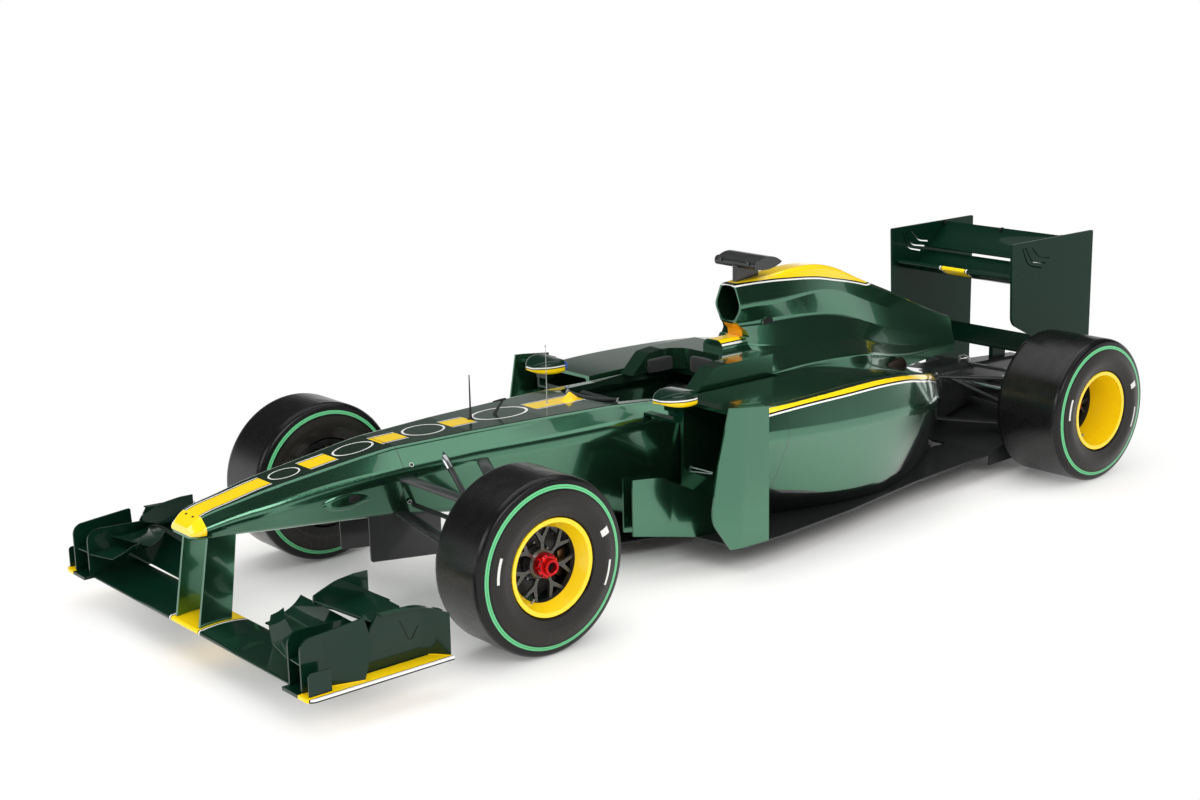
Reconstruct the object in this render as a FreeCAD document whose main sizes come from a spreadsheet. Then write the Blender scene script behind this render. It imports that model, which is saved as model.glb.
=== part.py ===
# Open wheel racing car in millimetres.
# X points forward, Y to the car's left and Z up. The origin is on the ground under the middle of the car.
import FreeCAD, Part
import math
import os

V = FreeCAD.Vector

# Driving sizes: name, value, meaning
SIZES = (
    ("front_axle_x", 1390, "front axle ahead of the middle of the car"),
    ("wheelbase", 3200, "front axle to rear axle"),
    ("wheel_radius", 330, "tyre tread to wheel centre"),
    ("front_wheel_y", 735, "middle of a front tyre to the centre line"),
    ("rear_wheel_y", 712.5, "middle of a rear tyre to the centre line"),
    ("front_tyre_width", 300, "over the sidewalls of a front tyre"),
    ("rear_tyre_width", 375, "over the sidewalls of a rear tyre"),
    ("bead_radius", 168, "tyre seat on the rim"),
    ("bead_gap", 0.7, "gap between the tyre's bead and the rim"),
    ("rim_lip_radius", 181, "outer edge of a rim"),
    ("rim_wall", 8, "thickness of a rim barrel"),
    ("lip_inset", 17, "rim lip inside the tyre's sidewall"),
    ("spoke_count", 7, "forked spokes of a rim"),
    ("spindle_radius", 30, "spindle that carries a wheel"),
    ("running_gap", 0.08, "gap between a turning part and its seat"),
    ("kingpin_inset", 95, "kingpin inboard of the front wheel's middle"),
    ("kingpin_radius", 10, "pins of the ball joints"),
    ("ball_joint_rise", 122, "upper and lower ball joint from the wheel centre"),
    ("eye_height", 20, "height of a wishbone's outer eye"),
    ("steering_arm", 80, "track rod pin ahead of the kingpin"),
    ("track_rod_rise", 85, "track rod above the wheel centre"),
    ("track_rod_radius", 9, "radius of a track rod"),
    ("rod_eye_gap", 5, "room of a rod end about its pin"),
    ("plank_bottom", 40, "underside of the plank above the ground"),
    ("plank_depth", 10, "thickness of the plank"),
    ("floor_sheet", 10, "thickness of the floor"),
    ("floor_step", 50, "height of the stepped floor above its middle"),
    ("floor_half", 250, "half width of the floor's middle"),
    ("nose_joint_x", 1530, "joint of the nose and the monocoque"),
    ("nose_tip_x", 2364, "tip of the nose"),
    ("tub_rear_x", -330, "rear bulkhead of the monocoque"),
    ("tub_half", 290, "half width of the monocoque beside the seat"),
    ("tub_top", 636, "top of the cockpit sides"),
    ("tub_wall", 26, "wall of the monocoque"),
    ("cockpit_front_x", 545, "front of the cockpit opening"),
    ("cockpit_rear_x", -150, "rear of the cockpit opening"),
    ("cockpit_half", 225, "half width of the cockpit opening"),
    ("surround_top", 730, "top of the head surround"),
    ("engine_length", 625, "length of the engine behind the monocoque"),
    ("engine_half", 225, "half width of the engine"),
    ("engine_top", 480, "top of the engine block"),
    ("gearbox_half", 95, "half width of the gearbox"),
    ("gearbox_overhang", 70, "gearbox behind the rear axle"),
    ("crash_length", 450, "length of the crash structure behind the gearbox"),
    ("crash_half", 45, "half width of the crash structure at its end"),
    ("crash_middle_z", 342, "middle of the crash structure's end above the ground"),
    ("lamp_depth", 22, "depth of the rain light"),
    ("pod_front_x", 250, "front of the sidepods"),
    ("pod_half", 690, "half width over a sidepod"),
    ("pod_top", 642, "top of the sidepods"),
    ("pod_tail", 310, "rear end of the sidepods ahead of the rear axle"),
    ("duct_depth", 420, "depth of a sidepod inlet"),
    ("cover_front_x", -302, "front edge of the intake"),
    ("cover_tail", 20, "rear end of the engine cover ahead of the rear axle"),
    ("intake_depth", 330, "depth of the engine intake"),
    ("front_wing_x", 2380, "leading edge of the front wing"),
    ("front_wing_z", 130, "front wing above the ground"),
    ("front_wing_half", 900, "half width of the front wing"),
    ("outer_plate_inset", 70, "outer plate of the front wing inboard of its end"),
    ("rear_plate_inset", 82, "rear plate of the front wing inboard of its end"),
    ("inner_plate_inset", 166, "inner plate of the front wing inboard of its end"),
    ("plate_sheet", 8, "thickness of the front wing's plates"),
    ("foot_sheet", 12, "thickness of the endplate's foot"),
    ("neutral_half", 250, "half width of the front wing's middle section"),
    ("pylon_y", 84, "nose pylon from the centre line"),
    ("pylon_sheet", 12, "thickness of a nose pylon"),
    ("rear_wing_half", 375, "half width of the rear wing"),
    ("rear_wing_top", 1041, "top of the rear wing's endplates"),
    ("rear_wing_lead", 25, "front edge of the rear wing's endplates ahead of the rear axle"),
    ("rear_wing_trail", 606, "rear edge of the rear wing's endplates behind the rear axle"),
    ("rear_plate_sheet", 12, "thickness of the rear wing's endplates"),
    ("louvre_width", 7, "width of a louvre in the rear wing endplate"),
    ("wing_skin", 16, "greatest thickness of a wing element"),
    ("steering_wheel_x", 430, "steering wheel ahead of the middle of the car"),
    ("steering_wheel_z", 560, "middle of the steering wheel above the ground"),
    ("column_radius", 10, "radius of the steering column"),
    ("column_slope", 10, "slope of the steering column in degrees"),
)

doc = FreeCAD.newDocument("open_wheel_racing_car")
sheet = doc.addObject("Spreadsheet::Sheet", "sizes")
for row, (alias, value, meaning) in enumerate(SIZES, start=1):
    sheet.set(f"A{row}", meaning)
    sheet.set(f"B{row}", str(value))
    sheet.setAlias(f"B{row}", alias)
doc.recompute()

sub_parts = {}


def size(alias):
    return float(sheet.get(alias))


def keep(name, thing):
    """Name a finished sub-part."""
    thing.Label = name
    sub_parts[name] = thing
    return thing


# Sizes that follow from the driving ones
FRONT_X = size("front_axle_x")
REAR_X = FRONT_X - size("wheelbase")
WHEEL_Z = size("wheel_radius")
KINGPIN_Y = size("front_wheel_y") - size("kingpin_inset")
PLANK_TOP = size("plank_bottom") + size("plank_depth")
FLOOR_TOP = PLANK_TOP + size("floor_sheet")
STEP_BOTTOM = PLANK_TOP + size("floor_step")
STEP_TOP = STEP_BOTTOM + size("floor_sheet")
TUB_HALF = size("tub_half")
TUB_TOP = size("tub_top")
TUB_REAR = size("tub_rear_x")
ROD_Z = WHEEL_Z + size("track_rod_rise")
ROD_X = FRONT_X + size("steering_arm")
ENGINE_REAR = TUB_REAR - size("engine_length")
GEARBOX_REAR = REAR_X - size("gearbox_overhang")
CRASH_END = GEARBOX_REAR - size("crash_length")
POD_REAR = REAR_X + size("pod_tail")


def between(start, end, share):
    """Station at a share of the way from start to end."""
    return start + share * (end - start)


# Outlines


def rounded(points):
    """Closed outline through points (u, v) or (u, v, corner radius)."""
    count = len(points)
    starts = []
    ends = []
    arcs = []
    for index in range(count):
        here = V(points[index][0], points[index][1], 0)
        before = V(points[index - 1][0], points[index - 1][1], 0) - here
        after_point = points[(index + 1) % count]
        after = V(after_point[0], after_point[1], 0) - here
        radius = points[index][2] if len(points[index]) > 2 else 0
        if radius == 0:
            starts.append(here)
            ends.append(here)
            arcs.append(None)
            continue
        half = before.getAngle(after) / 2
        reach = min(radius / math.tan(half), 0.45 * before.Length, 0.45 * after.Length)
        radius = reach * math.tan(half)
        before.normalize()
        after.normalize()
        start = here + before * reach
        end = here + after * reach
        inward = before + after
        inward.normalize()
        middle = here + inward * (radius / math.sin(half) - radius)
        starts.append(start)
        ends.append(end)
        arcs.append(Part.Arc(start, middle, end))
    edges = []
    for index in range(count):
        if arcs[index]:
            edges.append(arcs[index])
        following = starts[(index + 1) % count]
        if ends[index].distanceToPoint(following) > 1e-4:
            edges.append(Part.LineSegment(ends[index], following))
    return edges


def wing_outline(lead, trail, camber, thickness):
    """Wing element seen from the side: round nose, bulging by camber away from its chord."""
    lead = V(lead[0], lead[1], 0)
    trail = V(trail[0], trail[1], 0)
    chord = trail - lead
    along = V(chord)
    along.normalize()
    up = V(-along.y, along.x, 0)
    if up.y < 0:
        up = up * -1
    nose = lead + along * (thickness * 0.5)
    bulge = lead + along * (chord.Length * 0.45) + up * camber
    nose_top = nose + up * (thickness * 0.35)
    nose_low = nose - up * (thickness * 0.35)
    tail_top = trail + up * 1.0
    tail_low = trail - up * 1.0
    return [
        Part.Arc(nose_low, lead, nose_top),
        Part.Arc(nose_top, bulge + up * (thickness / 2), tail_top),
        Part.LineSegment(tail_top, tail_low),
        Part.Arc(tail_low, bulge - up * (thickness / 2), nose_low),
    ]


def ring_outline(points):
    """Outline of straight edges for a turned piece, points (along the axle, radius)."""
    return rounded(points)


# Features


def new_body(name):
    return doc.addObject("PartDesign::Body", name)


def add_sketch(body, role, edges, offset=0.0):
    """Sketch on one of the body's origin planes, moved along the plane's normal.
    The YZ plane faces +X, the XZ plane faces -Y and the XY plane faces +Z."""
    sketch = body.newObject("Sketcher::SketchObject", body.Name + "_sketch")
    plane = next(item for item in body.Origin.OriginFeatures if item.Role == role)
    sketch.AttachmentSupport = (plane, [""])
    sketch.MapMode = "FlatFace"
    sketch.AttachmentOffset = FreeCAD.Placement(V(0, 0, offset), FreeCAD.Rotation())
    for edge in edges:
        sketch.addGeometry(edge, False)
    return sketch


def set_length(feature, length):
    """Length from a number or from an expression over the driving sizes."""
    if isinstance(length, str):
        feature.setExpression("Length", length)
    else:
        feature.Length = length


def add_pad(body, role, edges, length, offset=0.0, both_ways=False):
    sketch = add_sketch(body, role, edges, offset)
    pad = body.newObject("PartDesign::Pad", body.Name + "_pad")
    pad.Profile = sketch
    if both_ways:
        pad.SideType = "Symmetric"
    set_length(pad, length)
    return pad


def add_pocket(body, role, edges, length, offset=0.0):
    """Pocket that cuts half its length to each side of the sketch."""
    sketch = add_sketch(body, role, edges, offset)
    pocket = body.newObject("PartDesign::Pocket", body.Name + "_pocket")
    pocket.Profile = sketch
    pocket.SideType = "Symmetric"
    set_length(pocket, length)
    return pocket


def add_loft(body, role, sections, ruled=False, cutting=False):
    """Loft through sections (offset, outline)."""
    sketches = [add_sketch(body, role, edges, offset) for offset, edges in sections]
    kind = "PartDesign::SubtractiveLoft" if cutting else "PartDesign::AdditiveLoft"
    loft = body.newObject(kind, body.Name + "_loft")
    loft.Profile = sketches[0]
    loft.Sections = sketches[1:]
    loft.Ruled = ruled
    return loft


def add_turned(body, edges):
    """Solid turned about the body's own Y axis; outline points are (along the axle, radius)."""
    sketch = add_sketch(body, "YZ_Plane", edges)
    turned = body.newObject("PartDesign::Revolution", body.Name + "_turned")
    turned.Profile = sketch
    turned.ReferenceAxis = (sketch, ["H_Axis"])
    turned.Angle = 360
    return turned


def place(thing, x, y, z):
    """Place a sub-part by expressions over the driving sizes."""
    thing.setExpression("Placement.Base.x", x)
    thing.setExpression("Placement.Base.y", y)
    thing.setExpression("Placement.Base.z", z)


def rod(name, start, end, radius):
    start = V(*start)
    run = V(*end) - start
    piece = doc.addObject("Part::Cylinder", name)
    if isinstance(radius, str):
        piece.setExpression("Radius", radius)
    else:
        piece.Radius = radius
    piece.Height = run.Length
    piece.Placement = FreeCAD.Placement(start, FreeCAD.Rotation(V(0, 0, 1), run))
    return piece


def block(name, low, high):
    piece = doc.addObject("Part::Box", name)
    piece.Length = high[0] - low[0]
    piece.Width = high[1] - low[1]
    piece.Height = high[2] - low[2]
    piece.Placement.Base = V(*low)
    return piece


def blade(name, start, end, chord, thickness):
    """Suspension arm of a flat elliptic section, its long axis fore and aft."""
    start = V(*start)
    run = V(*end) - start
    along = V(run)
    along.normalize()
    wide = V(1, 0, 0) - along * along.x
    wide.normalize()
    thin = along.cross(wide)
    ellipse = Part.Ellipse(start + wide * (chord / 2), start + thin * (thickness / 2), start)
    piece = doc.addObject("Part::Feature", name)
    piece.Shape = Part.Face(Part.Wire(ellipse.toShape())).extrude(run)
    return piece


def fused(name, pieces):
    whole = doc.addObject("Part::MultiFuse", name)
    whole.Shapes = pieces
    return whole


def cut(name, base, tool):
    piece = doc.addObject("Part::Cut", name)
    piece.Base = base
    piece.Tool = tool
    return piece


def mirrored(name, source):
    """The same piece on the car's right side."""
    piece = doc.addObject("Part::Mirroring", name)
    piece.Source = source
    piece.Normal = V(0, 1, 0)
    piece.Base = V(0, 0, 0)
    return keep(name, piece)


def both_sides(name, source):
    keep(name + "_left", source)
    mirrored(name + "_right", source)


# Monocoque and nose


def hull_section(top_half, top, side_half, side, low_half, low, top_corner=60, low_corner=35):
    """Cross-section of the monocoque or nose, as (half width, height) of top, side and bottom."""
    edge = top_corner * 0.4
    return rounded(
        (
            (-top_half, top, edge),
            (-side_half, side, top_corner),
            (-low_half, low, low_corner),
            (low_half, low, low_corner),
            (side_half, side, top_corner),
            (top_half, top, edge),
        )
    )


JOINT_X = size("nose_joint_x")
JOINT_SECTION = (118, 652, 182, 560, 118, 384)


def make_monocoque():
    half = TUB_HALF
    form = new_body("monocoque_form")
    add_loft(
        form,
        "YZ_Plane",
        (
            (JOINT_X, hull_section(*JOINT_SECTION)),
            (FRONT_X - 190, hull_section(150, 656, 212, 570, 140, 328)),
            (850, hull_section(178, 654, 252, 570, 160, 262)),
            (560, hull_section(200, 650, 278, 575, 180, 200)),
            (300, hull_section(236, TUB_TOP, half, 560, 215, 110)),
            (150, hull_section(240, TUB_TOP, half, 560, 232, FLOOR_TOP)),
            (TUB_REAR, hull_section(240, TUB_TOP, half, 560, 232, FLOOR_TOP)),
        ),
        ruled=True,
    )
    wall = size("tub_wall")
    inside = new_body("monocoque_inside")
    add_loft(
        inside,
        "YZ_Plane",
        (
            (JOINT_X - wall, hull_section(90, 626, 152, 560, 92, 384 + wall, 40, 25)),
            (850, hull_section(152, 628, 224, 570, 138, 262 + wall, 40, 25)),
            (560, hull_section(174, 624, 250, 575, 158, 200 + wall, 40, 25)),
            (300, hull_section(205, TUB_TOP - wall, half - wall, 560, 190, 110 + wall, 40, 25)),
            (150, hull_section(208, TUB_TOP - wall, half - wall, 560, 205, FLOOR_TOP + wall, 40, 25)),
            (
                TUB_REAR + wall,
                hull_section(208, TUB_TOP - wall, half - wall, 560, 205, FLOOR_TOP + wall, 40, 25),
            ),
        ),
        ruled=True,
    )
    opening = new_body("cockpit_opening")
    front = size("cockpit_front_x")
    rear = size("cockpit_rear_x")
    wide = size("cockpit_half")
    add_pad(
        opening,
        "XY_Plane",
        rounded(
            (
                (front, -150, 60),
                (front, 150, 60),
                (120, wide, 120),
                (rear, wide, 40),
                (rear, -wide, 40),
                (120, -wide, 120),
            )
        ),
        200,
        offset=TUB_TOP - wall - 40,
    )
    bushes = rod(
        "track_rod_bushes",
        (ROD_X, -TUB_HALF, ROD_Z),
        (ROD_X, TUB_HALF, ROD_Z),
        "sizes.track_rod_radius + sizes.running_gap",
    )
    # Dash bulkhead with the bearing of the steering column
    slope = math.radians(size("column_slope"))
    dash_x = size("cockpit_front_x") + 30
    dash = block("dash_bulkhead", (dash_x, -TUB_HALF, 500), (dash_x + 12, TUB_HALF, TUB_TOP))
    reach = dash_x - size("steering_wheel_x") - 60
    column_z = size("steering_wheel_z") - reach * math.tan(slope)
    bearing = rod(
        "column_bearing",
        (size("steering_wheel_x") + reach, 0, column_z),
        (size("steering_wheel_x") + reach + 120, 0, column_z - 120 * math.tan(slope)),
        "sizes.column_radius + sizes.running_gap",
    )
    cavity = cut("monocoque_cavity", inside, dash)
    hollow = fused("monocoque_hollow", [cavity, opening, bushes, bearing])
    keep("monocoque", cut("monocoque_cut", form, hollow))
    return form


def make_nose(front_wing):
    nose = new_body("nose")
    tip = size("nose_tip_x")
    add_loft(
        nose,
        "YZ_Plane",
        (
            (JOINT_X, hull_section(*JOINT_SECTION)),
            (1740, hull_section(104, 630, 164, 553, 110, 402, 58)),
            (1940, hull_section(92, 605, 149, 538, 103, 421, 54)),
            (2110, hull_section(81, 579, 134, 522, 96, 438, 46, 32)),
            (2235, hull_section(72, 555, 121, 508, 89, 450, 38, 28)),
            (tip - 34, hull_section(62, 528, 104, 492, 80, 458, 30, 22)),
            (tip, hull_section(48, 501, 78, 481, 56, 464, 12, 9)),
        ),
    )
    # Two pylons hang from the nose and carry the wing
    pylon_y = size("pylon_y")
    sheet_half = size("pylon_sheet") / 2
    for side in (1, -1):
        add_pad(
            nose,
            "XZ_Plane",
            rounded(
                (
                    (2366, size("front_wing_z") + 2),
                    (2306, 480),
                    (2195, 480),
                    (2240, size("front_wing_z") + 2),
                )
            ),
            "sizes.pylon_sheet",
            offset=-(side * pylon_y + sheet_half),
        )
    keep("nose_cone", cut("nose_fitted", nose, front_wing))
    return nose


# Cockpit


def make_cockpit(tub):
    wall = size("tub_wall")
    rear = size("cockpit_rear_x")
    top = size("surround_top")
    # Head surround: a raised horseshoe on the cockpit sides, its ends sloping down in front
    surround = new_body("surround")
    add_pad(
        surround,
        "XZ_Plane",
        rounded(((TUB_REAR, TUB_TOP), (110, TUB_TOP), (20, top - 8, 30), (-60, top, 60), (TUB_REAR, top))),
        "2 * sizes.cockpit_half + 40",
        offset=-(size("cockpit_half") + 20),
    )
    add_pocket(
        surround,
        "XY_Plane",
        rounded(((300, -165), (300, 165), (rear, 165, 90), (rear, -165, 90))),
        600,
        offset=TUB_TOP,
    )
    # Bolster behind the driver's head
    add_pad(
        surround,
        "YZ_Plane",
        rounded(((-62, 690), (-62, 775, 55), (62, 775, 55), (62, 690))),
        120,
        offset=TUB_REAR,
    )
    keep("head_surround", surround)

    seat = new_body("seat")
    low = FLOOR_TOP + wall
    add_pad(
        seat,
        "XZ_Plane",
        rounded(
            (
                (TUB_REAR + wall + 4, low),
                (150, low),
                (300, low + 50.5),
                (430, low + 96),
                (430, 250, 20),
                (400, 250, 15),
                (300, 165, 60),
                (110, 150, 90),
                (-110, 560, 30),
                (-180, 560, 20),
                (TUB_REAR + wall + 4, 300, 60),
            )
        ),
        380,
        both_ways=True,
    )
    add_pocket(
        seat,
        "XZ_Plane",
        rounded(((340, 168), (110, 120, 90), (-130, 575), (120, 640), (420, 600), (430, 260))),
        260,
    )
    keep("seat", cut("seat_fitted", seat, tub))


# Engine cover, sidepods, engine and gearbox


def cover_section(top_half, top, wide_half, wide, neck_half, neck, flare_half, flare, base_half, base, low):
    """Cross-section of the engine cover, from its spine down to its foot."""
    right = (
        (base_half, low),
        (base_half, base, 20),
        (flare_half, flare, 35),
        (neck_half, neck, 35),
        (wide_half, wide, 40),
        (top_half, top, 22),
    )
    left = tuple((-point[0],) + tuple(point[1:]) for point in reversed(right))
    return rounded(right + left)


def intake_outline(top_half, top, wide_half, wide, low_half, low):
    """Egg-shaped mouth of the intake, wider below its middle."""
    right = ((low_half, low, 34), (wide_half, wide, 60), (top_half, top, 34))
    left = tuple((-point[0],) + tuple(point[1:]) for point in reversed(right))
    return rounded(right + left)


def make_engine_cover():
    base_half = size("engine_half") + 10
    low = size("engine_top") + 6
    form = new_body("engine_cover_form")
    front = size("cover_front_x")
    rear = REAR_X + size("cover_tail")

    def station(share):
        return between(front, rear, share)

    add_loft(
        form,
        "YZ_Plane",
        (
            (front, cover_section(44, 1008, 84, 908, 44, 836, 84, 748, base_half, 650, low)),
            (station(0.14), cover_section(54, 1026, 95, 916, 78, 828, 140, 720, base_half, 652, low)),
            (station(0.28), cover_section(52, 1038, 88, 922, 84, 820, 150, 708, base_half, 650, low)),
            (station(0.41), cover_section(36, 1012, 68, 905, 84, 792, 148, 690, base_half, 636, low)),
            (station(0.54), cover_section(24, 935, 52, 838, 74, 732, 122, 645, 176, 594, low)),
            (station(0.68), cover_section(17, 850, 40, 760, 58, 664, 86, 594, 122, 550, low)),
            (station(0.82), cover_section(13, 760, 30, 684, 44, 606, 60, 558, 80, 528, low)),
            (rear, cover_section(10, 650, 22, 605, 30, 570, 38, 545, 46, 525, low)),
            (station(1.12), cover_section(9, 590, 18, 566, 24, 548, 30, 532, 36, 518, low)),
        ),
    )
    # Square tail
    behind = ((rear, 300), (rear, 1200), (rear - 400, 1200), (rear - 400, 300))
    add_pocket(form, "XZ_Plane", rounded(behind), 1400)
    # Clear of the head surround and the monocoque in front of the rear bulkhead
    add_pocket(
        form,
        "XZ_Plane",
        rounded(
            (
                (front + 50, 400),
                (front + 50, 842),
                (front - 2, 842),
                (front - 42, 800, 20),
                (front - 44, 776),
                (TUB_REAR, 776),
                (TUB_REAR, 400),
            )
        ),
        2 * TUB_HALF,
    )
    # Intake: an oval mouth that narrows to a duct
    add_loft(
        form,
        "YZ_Plane",
        (
            (front + 1, intake_outline(37, 1000, 76, 908, 36, 846)),
            (front - size("intake_depth"), intake_outline(34, 985, 58, 915, 34, 866)),
        ),
        cutting=True,
    )
    keep("engine_cover", form)
    return form


def pod_section(inner, top_half, top, wide_half, wide, waist_half, waist, low_half):
    """Cross-section of the left sidepod, undercut between its waist and the floor."""
    return rounded(
        (
            (inner, STEP_TOP),
            (low_half, STEP_TOP, 15),
            (waist_half, waist, 60),
            (wide_half, wide, 70),
            (top_half, top, 45),
            (inner, top),
        )
    )


def make_sidepods(cover):
    pod = new_body("sidepod")
    half = size("pod_half")
    top = size("pod_top")
    front = size("pod_front_x")

    def station(share):
        return between(front, POD_REAR, share)

    add_loft(
        pod,
        "YZ_Plane",
        (
            (front, pod_section(90, half - 70, top - 4, half - 30, 520, half - 190, 300, half - 345)),
            (station(0.11), pod_section(90, half - 40, top, half, 520, half - 130, 250, half - 290)),
            (station(0.33), pod_section(90, half - 50, top, half, 500, half - 80, 190, half - 170)),
            (
                station(0.53),
                pod_section(90, half - 90, top - 14, half - 30, 480, half - 100, 180, half - 130),
            ),
            (station(0.72), pod_section(70, half - 190, 570, half - 120, 440, half - 210, 180, half - 250)),
            (station(0.87), pod_section(60, 340, 505, 400, 400, 340, 190, 310)),
            (POD_REAR, pod_section(55, 180, 450, 220, 380, 190, 200, 170)),
        ),
    )
    # The inner side follows the monocoque, the engine and the gearbox
    engine_side = size("engine_half") + 12
    gearbox_side = size("gearbox_half") + 12
    add_pocket(
        pod,
        "XY_Plane",
        rounded(
            (
                (front + 50, -50),
                (front + 50, TUB_HALF + 0.3),
                (TUB_REAR - 2, TUB_HALF + 0.3),
                (TUB_REAR - 2, engine_side),
                (ENGINE_REAR - 10, engine_side),
                (ENGINE_REAR - 10, gearbox_side),
                (POD_REAR - 200, gearbox_side),
                (POD_REAR - 200, -50),
            )
        ),
        2400,
    )
    # Inlet
    mouth = (
        (308, 345, 25),
        (half - 190, 335, 60),
        (half - 60, 500, 60),
        (half - 84, top - 20, 25),
        (308, top - 17, 15),
    )
    duct = ((320, 330, 25), (half - 170, 320, 60), (half - 70, 480, 60), (half - 90, 580, 25), (320, 585, 15))
    add_loft(
        pod,
        "YZ_Plane",
        ((front + 1, rounded(mouth)), (front - size("duct_depth"), rounded(duct))),
        cutting=True,
    )
    both_sides("sidepod", cut("sidepod_fitted", pod, cover))


def make_power_unit():
    engine = block(
        "engine",
        (ENGINE_REAR, -size("engine_half"), FLOOR_TOP),
        (TUB_REAR, size("engine_half"), size("engine_top")),
    )
    keep("engine_block", engine)
    half = size("gearbox_half")
    crash_half = size("crash_half")
    middle = size("crash_middle_z")
    case = new_body("gearbox")
    add_loft(
        case,
        "YZ_Plane",
        (
            (ENGINE_REAR, rounded(((-half, 125, 20), (half, 125, 20), (half, 430, 30), (-half, 430, 30)))),
            (
                between(ENGINE_REAR, GEARBOX_REAR, 0.57),
                rounded(((-half, 130, 20), (half, 130, 20), (half, 425, 30), (-half, 425, 30))),
            ),
            (GEARBOX_REAR, rounded(((-half, 222, 20), (half, 222, 20), (half, 420, 30), (-half, 420, 30)))),
        ),
        ruled=True,
    )
    add_loft(
        case,
        "YZ_Plane",
        (
            (
                GEARBOX_REAR,
                rounded(((-75, 264, 25), (75, 264, 25), (75, 405, 25), (-75, 405, 25))),
            ),
            (
                CRASH_END,
                rounded(
                    (
                        (-crash_half, middle - 38, 15),
                        (crash_half, middle - 38, 15),
                        (crash_half, middle + 38, 15),
                        (-crash_half, middle + 38, 15),
                    )
                ),
            ),
        ),
    )
    # Bearing bores for the driveshafts
    shaft_bore = rod(
        "gearbox_shaft_bore",
        (REAR_X, -half - 1, WHEEL_Z),
        (REAR_X, half + 1, WHEEL_Z),
        22 + size("running_gap"),
    )
    case_bored = cut("gearbox_bored", case, shaft_bore)
    keep("gearbox_case", case_bored)
    lamp = new_body("lamp")
    add_pad(
        lamp,
        "YZ_Plane",
        rounded(
            (
                (-35, middle - 30, 10),
                (35, middle - 30, 10),
                (35, middle + 30, 10),
                (-35, middle + 30, 10),
            )
        ),
        "sizes.lamp_depth",
        offset=CRASH_END - size("lamp_depth"),
    )
    keep("rain_light", lamp)
    return case


# Floor and plank


def make_floor():
    half = size("floor_half")
    side = size("pod_half")
    sheet_t = size("floor_sheet")
    kick_x = POD_REAR - 5
    floor = new_body("floor_panel")
    add_pad(
        floor,
        "XY_Plane",
        rounded(
            (
                (720, -130, 60),
                (720, 130, 60),
                (330, half, 60),
                (kick_x, half),
                (kick_x, -half),
                (330, -half, 60),
            )
        ),
        sheet_t,
        offset=PLANK_TOP,
    )
    for hand in (1, -1):
        add_pad(
            floor,
            "XY_Plane",
            rounded(
                (
                    (240, hand * (half - 10)),
                    (345, hand * (half + 130), 40),
                    (295, hand * side, 25),
                    (60, hand * side, 200),
                    (between(60, kick_x, 0.3), hand * (side - 45), 200),
                    (between(60, kick_x, 0.62), hand * (side - 130), 200),
                    (kick_x, hand * 500),
                    (kick_x, hand * (half - 10)),
                )
            ),
            sheet_t,
            offset=STEP_BOTTOM,
        )
        # Wall between the middle and the stepped floor
        add_pad(
            floor,
            "XZ_Plane",
            rounded(((240, PLANK_TOP), (240, STEP_TOP), (kick_x, STEP_TOP), (kick_x, PLANK_TOP))),
            sheet_t,
            offset=-hand * half if hand > 0 else half - sheet_t,
        )
    # Diffuser: the floor sweeps up behind the rear axle line, with fences below it
    end_x = REAR_X - 350
    end_z = 270
    add_pad(
        floor,
        "XZ_Plane",
        rounded(
            (
                (kick_x, STEP_BOTTOM),
                (kick_x, STEP_TOP),
                (end_x, end_z + sheet_t),
                (end_x, end_z),
            )
        ),
        1000,
        both_ways=True,
    )
    for fence_y in (-494, -250, 250, 494):
        add_pad(
            floor,
            "XZ_Plane",
            rounded(
                (
                    (kick_x, PLANK_TOP + 2),
                    (kick_x, STEP_TOP),
                    (end_x, end_z + 5),
                    (end_x, 100),
                    (REAR_X + 10, PLANK_TOP + 6),
                )
            ),
            6,
            offset=-(fence_y + 3),
        )
    keep("floor", floor)
    plank = new_body("plank_board")
    plank_rear = kick_x + 25
    add_pad(
        plank,
        "XY_Plane",
        rounded(
            (
                (690, -110, 60),
                (690, 110, 60),
                (500, 150, 60),
                (plank_rear, 150),
                (plank_rear, -150),
                (500, -150, 60),
            )
        ),
        "sizes.plank_depth",
        offset=size("plank_bottom"),
    )
    keep("plank", plank)


# Front wing


def front_wing_planes(main, lead_x, z, end_y):
    """Main plane: a neutral middle and a cambered part to each side."""
    skin = size("wing_skin")
    neutral = size("neutral_half")
    middle = wing_outline((lead_x, z), (lead_x - 194, z + 6), 0, 2 * skin - 4)
    side = wing_outline((lead_x, z - 3), (lead_x - 190, z + 24), -10, skin)
    add_pad(main, "XZ_Plane", middle, "2 * sizes.neutral_half", both_ways=True)
    for hand in (1, -1):
        stations = ((neutral, middle), (neutral + 110, side), (end_y, side))
        add_loft(main, "XZ_Plane", tuple((-hand * y, outline) for y, outline in stations), ruled=True)


def front_wing_element(name, stations):
    """Flap or winglet through stations (y, leading edge, trailing edge, camber, thickness)."""
    piece = new_body(name)
    sections = tuple((-y, wing_outline(*outline)) for y, *outline in stations)
    add_loft(piece, "XZ_Plane", sections, ruled=True)
    return piece


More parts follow.
